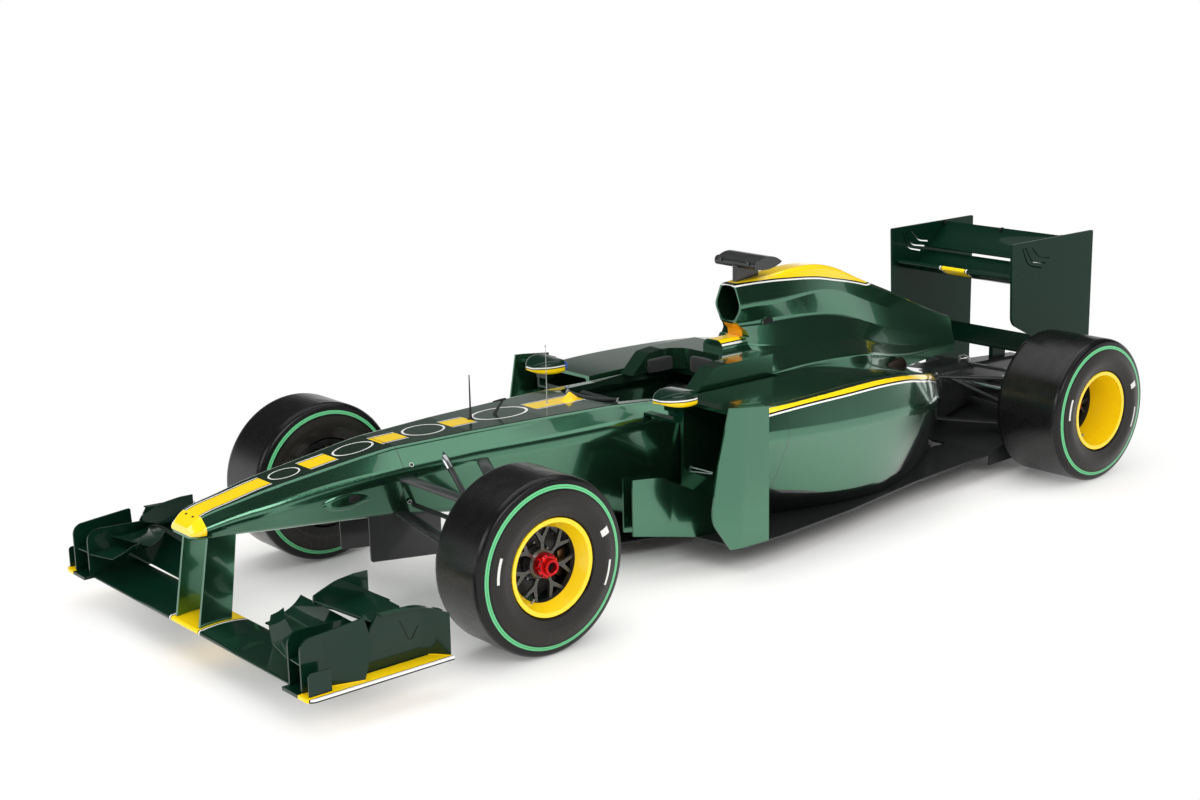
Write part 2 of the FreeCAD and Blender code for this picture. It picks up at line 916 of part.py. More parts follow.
def make_front_wing_flaps(lead_x, z, neutral, end_y):
    """Two flaps, the rolled element beside the inner plate and the winglet above it."""
    flap = front_wing_element(
        "front_flap",
        (
            (neutral + 12, (lead_x - 178, z + 36), (lead_x - 292, z + 58), -6, 10),
            (neutral + 150, (lead_x - 180, z + 40), (lead_x - 300, z + 90), -8, 10),
            (end_y, (lead_x - 180, z + 42), (lead_x - 310, z + 112), -12, 10),
        ),
    )
    upper_flap = front_wing_element(
        "front_upper_flap",
        (
            (neutral + 150, (lead_x - 300, z + 106), (lead_x - 372, z + 130), -5, 9),
            (neutral + 260, (lead_x - 304, z + 122), (lead_x - 395, z + 190), -9, 9),
            (end_y, (lead_x - 312, z + 130), (lead_x - 395, z + 196), -12, 9),
        ),
    )
    rolled = front_wing_element(
        "front_rolled_element",
        (
            (end_y - 225, (lead_x - 66, z + 160), (lead_x - 118, z + 176), -4, 6),
            (end_y - 200, (lead_x - 42, z + 134), (lead_x - 106, z + 146), -5, 7),
            (end_y - 142, (lead_x - 18, z + 98), (lead_x - 100, z + 114), -6, 8),
            (end_y, (lead_x + 8, z + 90), (lead_x - 98, z + 104), -6, 8),
        ),
    )
    winglet = front_wing_element(
        "front_winglet",
        (
            (end_y - 242, (lead_x - 126, z + 150), (lead_x - 196, z + 198), -8, 7),
            (end_y, (lead_x - 88, z + 140), (lead_x - 249, z + 150), -12, 8),
        ),
    )
    flap_stack = doc.addObject("Part::Compound", "front_flap_stack")
    flap_stack.Links = [flap, upper_flap, rolled, winglet]
    both_sides("front_wing_flaps", flap_stack)


def plate_plan(front_x, front_y, rear_x, rear_y, sheet):
    """Plan of a bowed plate: straight in front, turning outwards to its rear edge."""
    middle = between(front_x, rear_x, 0.35)
    return rounded(
        (
            (front_x, front_y),
            (front_x, front_y + sheet),
            (middle, front_y + sheet + 2, 100),
            (rear_x, rear_y + sheet),
            (rear_x, rear_y),
            (middle, front_y + 2, 100),
        )
    )


def outer_front_plate(lead_x, z, foot_z, outer):
    """Outer plate: its foot turns outwards to the rear, and its rear edge is convex."""
    plate = size("plate_sheet")
    plate_y = outer - size("outer_plate_inset") - 4
    piece = new_body("front_outer_plate")
    rear_x = lead_x - 240
    add_loft(
        piece,
        "XY_Plane",
        (
            (foot_z, plate_plan(lead_x + 24, plate_y, rear_x, outer - 10 - plate, plate)),
            (z + 215, plate_plan(lead_x + 24, plate_y, rear_x, plate_y, plate)),
        ),
        ruled=True,
    )
    add_pocket(
        piece,
        "XZ_Plane",
        rounded(
            (
                (lead_x + 60, foot_z - 10),
                (lead_x + 22, foot_z - 10),
                (lead_x + 22, z + 184, 42),
                (lead_x - 222, z + 203, 6),
                (lead_x - 236, z + 115, 120),
                (lead_x - 184, foot_z - 10),
                (rear_x - 40, foot_z - 10),
                (rear_x - 40, z + 400),
                (lead_x + 60, z + 400),
            )
        ),
        4 * outer,
    )
    return piece


def rear_front_plate(lead_x, z, foot_z, outer, rear_y):
    """Rear plate: it turns outwards to the corner of the foot, under an arched top edge."""
    plate = size("plate_sheet")
    inner_face = rear_y - plate / 2
    piece = new_body("front_rear_plate")
    add_pad(
        piece,
        "XY_Plane",
        rounded(
            (
                (lead_x - 196, inner_face),
                (lead_x - 196, inner_face + plate),
                (lead_x - 478, inner_face + plate, 60),
                (lead_x - 526, outer - 14),
                (lead_x - 531, outer - 18),
                (lead_x - 482, inner_face, 60),
            )
        ),
        z + 200 - foot_z,
        offset=foot_z,
    )
    add_pocket(
        piece,
        "XZ_Plane",
        rounded(
            (
                (lead_x - 180, foot_z - 10),
                (lead_x - 200, foot_z - 10),
                (lead_x - 252, z + 150, 10),
                (lead_x - 284, z + 197, 10),
                (lead_x - 430, z + 192, 200),
                (lead_x - 532, z + 154),
                (lead_x - 600, z + 154),
                (lead_x - 600, z + 400),
                (lead_x - 180, z + 400),
            )
        ),
        4 * outer,
    )
    return piece


def make_front_wing_endplate(lead_x, z, inner_y):
    outer = size("front_wing_half")
    rear_y = outer - size("rear_plate_inset")
    plate = size("plate_sheet")
    foot_z = z - 8
    plates = new_body("front_plates")
    # Foot along the ground side, from the inner plate out to the full width
    add_pad(
        plates,
        "XY_Plane",
        rounded(
            (
                (lead_x + 36, inner_y - plate / 2),
                (lead_x + 36, outer, 30),
                (lead_x - 532, outer),
                (lead_x - 532, rear_y - plate / 2),
                (lead_x - 230, rear_y - plate / 2),
                (lead_x - 230, inner_y - plate / 2),
            )
        ),
        "sizes.foot_sheet",
        offset=foot_z,
    )
    # Inner plate
    add_pad(
        plates,
        "XZ_Plane",
        rounded(
            (
                (lead_x + 10, foot_z),
                (lead_x + 10, z + 186, 45),
                (lead_x - 215, z + 174),
                (lead_x - 249, z + 150),
                (lead_x - 415, z + 152, 20),
                (lead_x - 415, foot_z),
            )
        ),
        "sizes.plate_sheet",
        offset=-(inner_y + plate / 2),
    )
    # Shelf between the inner and the outer plate
    outer_y = outer - size("outer_plate_inset")
    add_pad(
        plates,
        "XY_Plane",
        rounded(
            (
                (lead_x + 6, inner_y),
                (lead_x + 14, outer_y - 2),
                (lead_x - 90, outer_y - 2),
                (lead_x - 90, inner_y),
            )
        ),
        4,
        offset=z + 92,
    )
    # Flange along the arched top edge of the rear plate
    add_pad(
        plates,
        "XZ_Plane",
        rounded(
            (
                (lead_x - 284, z + 197, 4),
                (lead_x - 430, z + 192, 200),
                (lead_x - 532, z + 154),
                (lead_x - 532, z + 148),
                (lead_x - 430, z + 186, 200),
                (lead_x - 284, z + 191, 4),
            )
        ),
        26,
        offset=-(rear_y + 22),
    )
    # Small vane on the foot, outside the outer plate
    add_pad(
        plates,
        "XZ_Plane",
        rounded(
            (
                (lead_x + 24, foot_z),
                (lead_x + 24, z + 88, 14),
                (lead_x - 62, z + 84, 4),
                (lead_x - 62, foot_z),
            )
        ),
        4,
        offset=-(outer - 20),
    )
    # Cascade: a scooped element from its inner fence to the rear plate
    fence_y = inner_y - 119
    add_loft(
        plates,
        "XZ_Plane",
        (
            (-fence_y, wing_outline((lead_x - 168, z + 215), (lead_x - 383, z + 201), -22, 8)),
            (-(rear_y - 2), wing_outline((lead_x - 262, z + 172), (lead_x - 377, z + 199), -12, 8)),
        ),
        ruled=True,
    )
    add_pad(
        plates,
        "XZ_Plane",
        rounded(
            (
                (lead_x - 166, z + 206, 4),
                (lead_x - 168, z + 234, 4),
                (lead_x - 255, z + 266, 200),
                (lead_x - 330, z + 274, 100),
                (lead_x - 384, z + 273),
                (lead_x - 384, z + 196),
                (lead_x - 300, z + 184, 100),
            )
        ),
        6,
        offset=-(fence_y + 3),
    )
    outer_plate = outer_front_plate(lead_x, z, foot_z, outer)
    rear_plate = rear_front_plate(lead_x, z, foot_z, outer, rear_y)
    both_sides("front_wing_endplate", fused("front_wing_plates", [plates, outer_plate, rear_plate]))


def make_front_wing():
    lead_x = size("front_wing_x")
    z = size("front_wing_z")
    inner_y = size("front_wing_half") - size("inner_plate_inset")
    plate = size("plate_sheet")
    main = new_body("front_wing")
    front_wing_planes(main, lead_x, z, inner_y - plate / 2 - 0.5)
    keep("front_wing_main", main)
    make_front_wing_flaps(lead_x, z, size("neutral_half"), inner_y - plate / 2 - 0.3)
    make_front_wing_endplate(lead_x, z, inner_y)
    return main


def make_under_nose_vanes(hull):
    vanes = []
    for hand in (1, -1):
        piece = new_body("nose_vane")
        add_pad(
            piece,
            "XZ_Plane",
            rounded(((1655, 440), (1330, 420), (1330, 184, 15), (1652, 222, 12))),
            6,
            offset=-(hand * 103 + 3),
        )
        vanes.append(piece)
    both = doc.addObject("Part::Compound", "nose_vanes")
    both.Links = vanes
    keep("under_nose_vanes", cut("nose_vanes_fitted", both, hull))


# Vanes ahead of the sidepods


def make_board(name, front, middle_y, rear, top_drop):
    """Curved board ahead of a sidepod: its foot stands on the splitter, its front end hangs free."""
    front_x, front_y = front
    rear_x, rear_y = rear
    sheet_t = 7
    board = new_body(name)
    add_pad(
        board,
        "XY_Plane",
        rounded(
            (
                (front_x, front_y),
                (front_x, front_y + sheet_t),
                (440, middle_y + sheet_t, 150),
                (rear_x, rear_y + sheet_t),
                (rear_x, rear_y),
                (440, middle_y, 150),
            )
        ),
        330,
        offset=STEP_TOP - 40,
    )
    # Falling top edge
    add_pocket(
        board,
        "XZ_Plane",
        rounded(
            (
                (front_x + 20, 394 - top_drop),
                (490, 384 - top_drop, 30),
                (290, 286 - top_drop),
                (190, 236 - top_drop),
                (190, 900),
                (front_x + 20, 900),
            )
        ),
        1400,
    )
    # Rising lower edge ahead of the foot
    add_pocket(
        board,
        "XZ_Plane",
        rounded(
            (
                (front_x + 20, 164),
                (front_x + 20, 40),
                (190, 40),
                (190, STEP_TOP + 0.3),
                (340, STEP_TOP + 0.3),
            )
        ),
        1400,
    )
    return board


def make_vanes():
    front = size("pod_front_x")
    outer_board = make_board("bargeboard_outer", (615, 400), 432, (front - 18, 484), 0)
    inner_board = make_board("bargeboard_inner", (606, 332), 340, (front + 18, 350), 6)
    half = size("pod_half")
    vane = new_body("pod_vane_plate")
    add_pad(
        vane,
        "XY_Plane",
        rounded(
            (
                (432, half - 34),
                (432, half - 26),
                (300, half + 7, 160),
                (150, half + 10),
                (150, half + 2),
                (298, half - 1, 160),
            )
        ),
        584,
        offset=STEP_TOP,
    )
    # Swept front edge and leaning rear edge
    add_pocket(
        vane,
        "XZ_Plane",
        rounded(
            (
                (349, 720),
                (349, 690),
                (400, 470, 300),
                (432, 240, 120),
                (345, STEP_TOP - 4),
                (460, STEP_TOP - 4),
                (460, 720),
            )
        ),
        4 * half,
    )
    add_pocket(vane, "XZ_Plane", rounded(((140, 664), (140, 720), (352, 720), (352, 689))), 4 * half)
    # Foot that widens the vane on the floor's corner
    add_pad(
        vane,
        "XY_Plane",
        rounded(((345, half - 14), (160, half + 2), (160, half - 60, 30))),
        24,
        offset=STEP_TOP,
    )
    # Bracket to the top of the sidepod
    add_pad(
        vane,
        "XY_Plane",
        rounded(((250, half - 50), (250, half + 4), (150, half + 6), (150, half - 50))),
        8,
        offset=size("pod_top") + 4,
    )
    vanes = doc.addObject("Part::Compound", "side_vanes")
    vanes.Links = [outer_board, inner_board, vane]
    both_sides("bargeboards", vanes)


# Mirrors and camera


def make_mirrors():
    mirror = new_body("mirror_pod")
    add_loft(
        mirror,
        "YZ_Plane",
        (
            (485, rounded(((385, 680, 6), (430, 684, 6), (430, 706, 6), (385, 702, 6)))),
            (450, rounded(((355, 668, 12), (470, 672, 12), (470, 722, 18), (355, 716, 18)))),
            (345, rounded(((335, 664, 14), (495, 668, 14), (495, 726, 20), (335, 718, 20)))),
        ),
    )
    add_pad(
        mirror,
        "XZ_Plane",
        rounded(((420, 640), (420, 675), (370, 675), (370, 640))),
        60,
        offset=-440,
    )
    add_pad(
        mirror,
        "XZ_Plane",
        rounded(((415, 596), (415, 606), (375, 606), (375, 596))),
        200,
        offset=-440,
    )
    add_pad(
        mirror,
        "XZ_Plane",
        rounded(((415, 596), (415, 645), (375, 645), (375, 596))),
        12,
        offset=-440,
    )
    return mirror


def make_camera():
    camera = new_body("camera")
    lead_x = size("cover_front_x") - 39
    add_pad(
        camera,
        "XZ_Plane",
        wing_outline((lead_x, 1092), (lead_x - 165, 1094), 4, 56),
        250,
        both_ways=True,
    )
    add_pad(
        camera,
        "XY_Plane",
        rounded(((lead_x + 6, -14, 12), (lead_x + 6, 14, 12), (lead_x - 138, 7), (lead_x - 138, -7))),
        80,
        offset=1006,
    )
    return camera


# Rear wing


def louvre_outline(start, corner, end, width):
    """Curved slot along a line of three points, from its upper end to its rear end."""
    half = width / 2
    slant = half * 0.7
    return rounded(
        (
            (start[0] + half, start[1]),
            (corner[0] + slant, corner[1] - slant, 74),
            (end[0], end[1] - half),
            (end[0], end[1] + half),
            (corner[0] - slant, corner[1] + slant, 66),
            (start[0] - half, start[1]),
        )
    )


def make_rear_wing():
    half = size("rear_wing_half")
    skin = size("wing_skin")
    span = "2 * (sizes.rear_wing_half - sizes.rear_plate_sheet)"
    x = REAR_X
    main = new_body("rear_wing_plane")
    main_outline = wing_outline((x - 5, 872), (x - 265, 900), -48, skin + 12)
    add_pad(main, "XZ_Plane", main_outline, span, both_ways=True)
    flap = new_body("rear_wing_flap")
    add_pad(flap, "XZ_Plane", wing_outline((x - 250, 918), (x - 380, 1036), -22, skin), span, both_ways=True)
    both = doc.addObject("Part::Compound", "rear_wing_planes")
    both.Links = [main, flap]
    keep("rear_wing", both)
    plate = new_body("rear_plate")
    front = x + size("rear_wing_lead")
    rear = x - size("rear_wing_trail")
    top = size("rear_wing_top")
    add_pad(
        plate,
        "XZ_Plane",
        rounded(
            (
                (front, top, 8),
                (front - 15, 660, 60),
                (x - 190, 560, 60),
                (x - 260, 500, 40),
                (x - 270, 290),
                (rear, 290),
                (rear, top, 8),
            )
        ),
        "sizes.rear_plate_sheet",
        offset=-half,
    )
    # Three louvres near the upper front corner
    for start, corner, end in (
        ((x - 53, top - 27), (x - 96, top - 112), (x - 205, top - 137)),
        ((x - 74, top - 25), (x - 127, top - 99), (x - 236, top - 117)),
        ((x - 124, top - 30), (x - 180, top - 82), (x - 261, top - 95)),
    ):
        outline = louvre_outline(start, corner, end, size("louvre_width"))
        add_pocket(plate, "XZ_Plane", outline, 4 * half)
    both_sides("rear_wing_endplate", plate)
    beam = new_body("beam")
    add_pad(beam, "XZ_Plane", wing_outline((x - 280, 455), (x - 480, 500), -24, skin), span, both_ways=True)
    # Pylon from the crash structure
    add_pad(
        beam,
        "XZ_Plane",
        rounded(((x - 320, 380), (x - 320, 450), (x - 420, 460), (x - 420, 380))),
        24,
        both_ways=True,
    )
    return beam


# Wheels


def wheel_profile(outer_lip, inner_lip, face, throat):
    """Turned rim: lips, tapered dish and barrel, as (along the axle, radius)."""
    bead = size("bead_radius")
    lip = size("rim_lip_radius")
    wall = size("rim_wall")
    return (
        (inner_lip, bead - wall),
        (inner_lip, lip, 2),
        (inner_lip + wall, lip, 2),
        (inner_lip + wall, bead),
        (outer_lip - wall, bead),
        (outer_lip - wall, lip, 2),
        (outer_lip, lip, 2),
        (outer_lip - 2, bead - 4),
        (face + 10, throat, 4),
        (face - 12, throat, 4),
        (face - 20, bead - wall),
    )


def spoke_outline(hub, fork, reach, width, count):
    """Forked spoke from the hub to two feet on the rim, pointing up."""
    spread = math.pi / (2 * count)
    foot = width * 0.45
    left_foot = V(-math.sin(spread) * reach, math.cos(spread) * reach, 0)
    right_foot = V(-left_foot.x, left_foot.y, 0)
    return rounded(
        (
            (-width / 2, hub),
            (width / 2, hub),
            (width / 2, fork - 6, 12),
            (right_foot.x + foot, right_foot.y),
            (right_foot.x - foot, right_foot.y),
            (0, fork + 12, 4),
            (left_foot.x + foot, left_foot.y),
            (left_foot.x - foot, left_foot.y),
            (-width / 2, fork - 6, 12),
        )
    )


def make_rim(name, outer_lip, inner_lip, face, throat, hub_inner, spoke_depth):
    rim = new_body(name)
    add_turned(rim, ring_outline(wheel_profile(outer_lip, inner_lip, face, throat)))
    bore = size("spindle_radius") + size("running_gap")
    add_turned(
        rim,
        ring_outline(((hub_inner, bore), (hub_inner, 56), (face, 56), (face + 6, 50), (face + 6, bore))),
    )
    count = int(size("spoke_count"))
    sketch_edges = spoke_outline(48, 88, throat + 3, 11, count)
    spoke = add_pad(rim, "XZ_Plane", sketch_edges, spoke_depth, offset=-(face + 2))
    doc.recompute()
    pattern = rim.newObject("PartDesign::PolarPattern", name + "_spokes")
    pattern.Originals = [spoke]
    pattern.Axis = (next(item for item in rim.Origin.OriginFeatures if item.Role == "Y_Axis"), [""])
    pattern.Angle = 360
    pattern.setExpression("Occurrences", "sizes.spoke_count")
    rim.Tip = pattern
    return rim


def make_tyre(name, width, tread):
    """Slick tyre: a turned ring with round shoulders."""
    half = width / 2
    bead = size("bead_radius")
    radius = size("wheel_radius")
    lip = size("rim_lip_radius")
    bead_half = half - size("lip_inset") - size("rim_wall") - size("bead_gap")
    seat = bead + size("bead_gap")
    tyre = new_body(name)
    add_turned(
        tyre,
        ring_outline(
            (
                (-bead_half, seat),
                (-bead_half, lip + 0.5),
                (-(half - 14), lip + 7, 6),
                (-half, 240, 70),
                (-(tread + 16), radius - 8, 30),
                (-tread, radius, 120),
                (tread, radius, 120),
                (tread + 16, radius - 8, 30),
                (half, 240, 70),
                (half - 14, lip + 7, 6),
                (bead_half, lip + 0.5),
                (bead_half, seat),
            )
        ),
    )
    return tyre


def make_wheels():
    front_half = size("front_tyre_width") / 2
    rear_half = size("rear_tyre_width") / 2
    spindle = size("spindle_radius") + size("running_gap")
    axle_places = {
        "front": ("sizes.front_axle_x", "sizes.front_wheel_y"),
        "rear": ("sizes.front_axle_x - sizes.wheelbase", "sizes.rear_wheel_y"),
    }
    tyres = {"front": (front_half, 111), "rear": (rear_half, 150)}
    for end in ("front", "rear"):
        half, tread = tyres[end]
        along_x, along_y = axle_places[end]
        tyre = make_tyre("tyre_" + end, 2 * half, tread)
        lip = half - size("lip_inset")
        # The tyre's beads sit between the lips
        if end == "front":
            rim = make_rim("rim_front", lip, -lip, 72, 137, 40, 14)
        else:
            rim = make_rim("rim_rear", lip, -lip, -8, 140, -40, 14)
        nut = new_body("nut_" + end)
        if end == "front":
            outline = ((78, spindle), (78, 45), (104, 45, 4), (110, 36, 2), (110, spindle))
            add_turned(nut, ring_outline(outline))
            for turn in range(8):
                angle = turn * math.pi / 4
                add_pocket(
                    nut,
                    "XZ_Plane",
                    rounded(
                        tuple(
                            (
                                along * math.cos(angle) - across * math.sin(angle),
                                along * math.sin(angle) + across * math.cos(angle),
                            )
                            for along, across in ((38, -5), (50, -5), (50, 5), (38, 5))
                        )
                    ),
                    36,
                    offset=-110,
                )
        else:
            add_turned(
                nut,
                ring_outline(
                    (
                        (-size("rear_wheel_y") + 62, 0),
                        (-size("rear_wheel_y") + 62, 22),
                        (-2 + 0.0, 22),
                        (-2 + 0.0, 44),
                        (22, 44, 4),
                        (28, 32, 3),
                        (28, 0),
                    )
                ),
            )
        for body in (tyre, rim, nut):
            place(body, along_x, along_y, "sizes.wheel_radius")
        both_sides("tyre_" + end, tyre)
        both_sides("rim_" + end, rim)
        both_sides("wheel_nut_front" if end == "front" else "driveshaft", nut)


# Suspension, uprights and steering


def make_front_upright():
    """Knuckle: spindle, brake housing, ball-joint pins and steering arm."""
    inset = size("kingpin_inset")
    rise = size("ball_joint_rise")
    eye = size("eye_height")
    pin = size("kingpin_radius")
    arm = size("steering_arm")
    rod_rise = size("track_rod_rise")
    upright = new_body("upright")
    add_turned(
        upright,
        ring_outline(
            (
                (-70, 0),
                (-70, 132, 6),
                (20, 132, 6),
                (20, 60),
                (38, 60),
                (38, size("spindle_radius")),
                (108, size("spindle_radius")),
                (108, 0),
            )
        ),
    )
    # Column that joins the two ball joints
    add_pad(
        upright,
        "XZ_Plane",
        rounded(
            (
                (-36, -rise + 14),
                (36, -rise + 14),
                (44, 0, 60),
                (30, rise - 2),
                (-30, rise - 2),
                (-44, 0, 60),
            )
        ),
        inset + 22 - 69,
        offset=69,
    )
    for hand in (1, -1):
        add_pad(
            upright,
            "XY_Plane",
            [Part.Circle(V(0, -inset, 0), V(0, 0, 1), pin)],
            eye + 27,
            offset=rise - 20 if hand > 0 else -(rise + eye + 7),
        )
    # Steering arm with its pin
    add_pad(
        upright,
        "XY_Plane",
        rounded(
            (
                (10, -inset - 14),
                (arm, -inset - 12, 10),
                (arm + 13, -inset, 10),
                (arm, -inset + 12, 10),
                (10, -inset + 14),
            )
        ),
        14,
        offset=rod_rise - 28,
    )
    add_pad(
        upright,
        "XY_Plane",
        [Part.Circle(V(arm, -inset, 0), V(0, 0, 1), 6)],
        28 + 14 - 4,
        offset=rod_rise - 24,
    )
    place(upright, "sizes.front_axle_x", "sizes.front_wheel_y", "sizes.wheel_radius")
    both_sides("front_upright", upright)


def make_steering():
    eye_radius = 6 + size("rod_eye_gap")
    bar = rod(
        "rack_bar",
        (ROD_X, -KINGPIN_Y + eye_radius + 4, ROD_Z),
        (ROD_X, KINGPIN_Y - eye_radius - 4, ROD_Z),
        "sizes.track_rod_radius",
    )
    pieces = [bar]
    holes = []
    for hand in (1, -1):
        end_y = hand * KINGPIN_Y
        ring = rod("rod_end", (ROD_X, end_y, ROD_Z - 8), (ROD_X, end_y, ROD_Z + 8), eye_radius + 7)
        hole = rod("rod_end_hole", (ROD_X, end_y, ROD_Z - 20), (ROD_X, end_y, ROD_Z + 20), eye_radius)
        pieces.append(ring)
        holes.append(hole)
    rack = cut("rack_cut", fused("rack_fused", pieces), fused("rack_holes", holes))
    keep("steering_rack", rack)

    wheel = new_body("steering")
    # Rim: a flat-topped loop with two grips, around a panel
    add_pad(
        wheel,
        "YZ_Plane",
        rounded(
            (
                (-118, 78, 22),
                (-140, 20, 22),
                (-132, -62, 26),
                (-70, -84, 30),
                (70, -84, 30),
                (132, -62, 26),
                (140, 20, 22),
                (118, 78, 22),
            )
        ),
        24,
        offset=-12,
    )
    for hand in (1, -1):
        add_pocket(
            wheel,
            "YZ_Plane",
            rounded(
                (
                    (hand * 100, 52, 10),
                    (hand * 112, 10, 10),
                    (hand * 104, -48, 10),
                    (hand * 76, -50, 10),
                    (hand * 78, 52, 10),
                )
            ),
            80,
        )
    # Column to the dash bulkhead
    add_pad(
        wheel,
        "YZ_Plane",
        [Part.Circle(V(0, 0, 0), V(0, 0, 1), size("column_radius"))],
        150,
        offset=10,
    )
    wheel.Placement = FreeCAD.Placement(
        V(size("steering_wheel_x"), 0, size("steering_wheel_z")),
        FreeCAD.Rotation(V(0, 1, 0), size("column_slope")),
    )
    keep("steering_wheel", wheel)


def make_front_suspension(hull):
    rise = size("ball_joint_rise")
    eye = size("eye_height")
    gap = size("running_gap")
    pin = size("kingpin_radius")
    pieces = []
    holes = []
    upper_ends = (1, (1530, 150, 540), (1180, 170, 560))
    lower_ends = (-1, (1520, 110, 395), (1180, 120, 350))
    for hand, fore, aft in (upper_ends, lower_ends):
        z = WHEEL_Z + hand * (rise + eye / 2 + 1)
        outer = (FRONT_X, KINGPIN_Y, z)
        for inner, chord in ((fore, 64), (aft, 54)):
            run = V(*inner) - V(*outer)
            run.normalize()
            start = V(*outer) + run * (pin + 6)
            pieces.append(blade("wishbone_arm", tuple(start), inner, chord, 15))
        x, y = outer[:2]
        pieces.append(rod("wishbone_eye", (x, y, z - eye / 2), (x, y, z + eye / 2), pin + 12))
        holes.append(rod("wishbone_eye_hole", (x, y, z - 60), (x, y, z + 60), pin + gap))
    pushrod = rod("pushrod", (FRONT_X - 18, KINGPIN_Y - 60, 222), (1350, 160, 600), 11)
    pieces.append(pushrod)
    arms = cut("front_arms_eyes", fused("front_arms", pieces), fused("front_arm_holes", holes))
    # The arms end on the monocoque
    both_sides("front_suspension", cut("front_arms_fitted", arms, hull))


def make_rear_suspension(case):
    outer_y = size("rear_wheel_y") - 85
    upper = (REAR_X, outer_y, WHEEL_Z + 105)
    lower = (REAR_X, outer_y, WHEEL_Z - 120)
    pieces = [
        blade("rear_arm", upper, (REAR_X + 285, 70, 405), 50, 14),
        blade("rear_arm", upper, (REAR_X - 60, 70, 410), 46, 14),
        blade("rear_arm", lower, (REAR_X + 280, 70, 200), 54, 14),
        blade("rear_arm", lower, (REAR_X - 40, 70, 250), 50, 14),
        blade("rear_toe_link", (REAR_X - 90, outer_y, WHEEL_Z - 20), (REAR_X - 62, 70, WHEEL_Z - 20), 24, 12),
        rod("rear_pushrod", (REAR_X + 14, outer_y - 40, 226), (REAR_X + 170, 70, 400), 10),
    ]
    upright = new_body("rear_upright")
    bore = 22 + size("running_gap")
    add_turned(
        upright,
        ring_outline(
            (
                (-130, bore),
                (-130, 60),
                (-110, 128, 6),
                (-62, 128, 6),
                (-62, 60),
                (-44, 60),
                (-44, size("spindle_radius")),
                (-6, size("spindle_radius")),
                (-6, bore),
            )
        ),
    )
    add_pad(
        upright,
        "XZ_Plane",
        rounded(((-46, -128), (46, -128), (46, 112), (-46, 112))),
        36,
        offset=67,
    )
    add_pocket(upright, "XZ_Plane", [Part.Circle(V(0, 0, 0), V(0, 0, 1), bore)], 80, offset=85)
    add_pad(upright, "XZ_Plane", rounded(((-110, -34), (-110, -6), (-40, 6), (-40, -46))), 20, offset=75)
    place(upright, "sizes.front_axle_x - sizes.wheelbase", "sizes.rear_wheel_y", "sizes.wheel_radius")
    pieces.append(upright)
    arms = fused("rear_arms", pieces)
    # The arms end on the gearbox; the shaft passes them freely
    shaft = rod("rear_shaft_room", (REAR_X, 0, WHEEL_Z), (REAR_X, outer_y + 200, WHEEL_Z), bore)
    tools = fused("rear_arm_tools", [case, shaft])
    both_sides("rear_suspension", cut("rear_arms_fitted", arms, tools))


monocoque_form = make_monocoque()
front_wing_plane = make_front_wing()
nose_form = make_nose(front_wing_plane)
front_hull = fused("front_hull", [monocoque_form, nose_form])
make_cockpit(sub_parts["monocoque"])
engine_cover_form = make_engine_cover()
make_sidepods(engine_cover_form)
gearbox_form = make_power_unit()
make_floor()
make_under_nose_vanes(front_hull)
make_vanes()
both_sides("mirror", cut("mirror_fitted", make_mirrors(), monocoque_form))
keep("camera_pod", cut("camera_fitted", make_camera(), engine_cover_form))
keep("beam_wing", cut("beam_fitted", make_rear_wing(), gearbox_form))
make_wheels()
make_front_upright()
make_steering()
make_front_suspension(front_hull)
make_rear_suspension(gearbox_form)
doc.recompute()

# Every object has to be sound before anything is written
for item in doc.Objects:
    if "Invalid" in item.State or "Error" in item.State:
        raise RuntimeError(f"{item.Name} ({item.Label}) failed: {item.State}")
for name, thing in sub_parts.items():
    shape = thing.Shape
    if shape.isNull() or not shape.isValid() or not shape.Solids:
        raise RuntimeError(f"{name} has no sound solid")

os.makedirs("parts", exist_ok=True)
for name, thing in sub_parts.items():
    thing.Shape.exportStep(os.path.join("parts", name + ".step"))
print(len(sub_parts), "sub-parts written")
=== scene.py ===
"""Looks of an open wheel racing car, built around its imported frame."""

import math

import bmesh
import bpy
from mathutils import Matrix, Vector


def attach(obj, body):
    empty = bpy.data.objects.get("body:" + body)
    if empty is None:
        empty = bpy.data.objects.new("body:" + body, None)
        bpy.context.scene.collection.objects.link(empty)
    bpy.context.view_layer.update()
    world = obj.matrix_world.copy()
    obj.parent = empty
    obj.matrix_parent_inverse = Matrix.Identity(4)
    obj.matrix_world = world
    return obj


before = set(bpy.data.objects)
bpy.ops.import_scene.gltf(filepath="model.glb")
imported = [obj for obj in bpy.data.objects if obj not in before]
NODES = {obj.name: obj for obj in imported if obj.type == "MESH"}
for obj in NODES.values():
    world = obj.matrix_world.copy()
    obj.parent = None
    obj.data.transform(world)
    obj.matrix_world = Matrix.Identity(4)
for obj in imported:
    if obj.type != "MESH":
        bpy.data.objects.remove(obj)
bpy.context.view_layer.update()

bl_info = {
    "name": "Open wheel racing car",
    "version": (1, 0, 0),
    "blender": (4, 5, 0),
    "location": "3D View > Sidebar > Racing car",
    "description": "Paint, tyres, fittings and studio of an open wheel racing car",
    "category": "Object",
}

SIDES = (("left", 1), ("right", -1))
UP = Vector((0.0, 0.0, 1.0))

# Named places of the car, in metres
FRONT_AXLE_X = 1.39
REAR_AXLE_X = -1.81
WHEEL_HEIGHT = 0.33
FRONT_WHEEL_Y = 0.735
REAR_WHEEL_Y = 0.7125


def linear(code):
    """Linear colour of an sRGB hex value."""
    parts = [int(code[place:place + 2], 16) / 255 for place in (1, 3, 5)]
    return tuple(part / 12.92 if part <= 0.04045 else ((part + 0.055) / 1.055) ** 2.4 for part in parts) + (1.0,)


WHITE = linear("#f4f4f0")
BLACK = linear("#0b0f0d")


# Settings


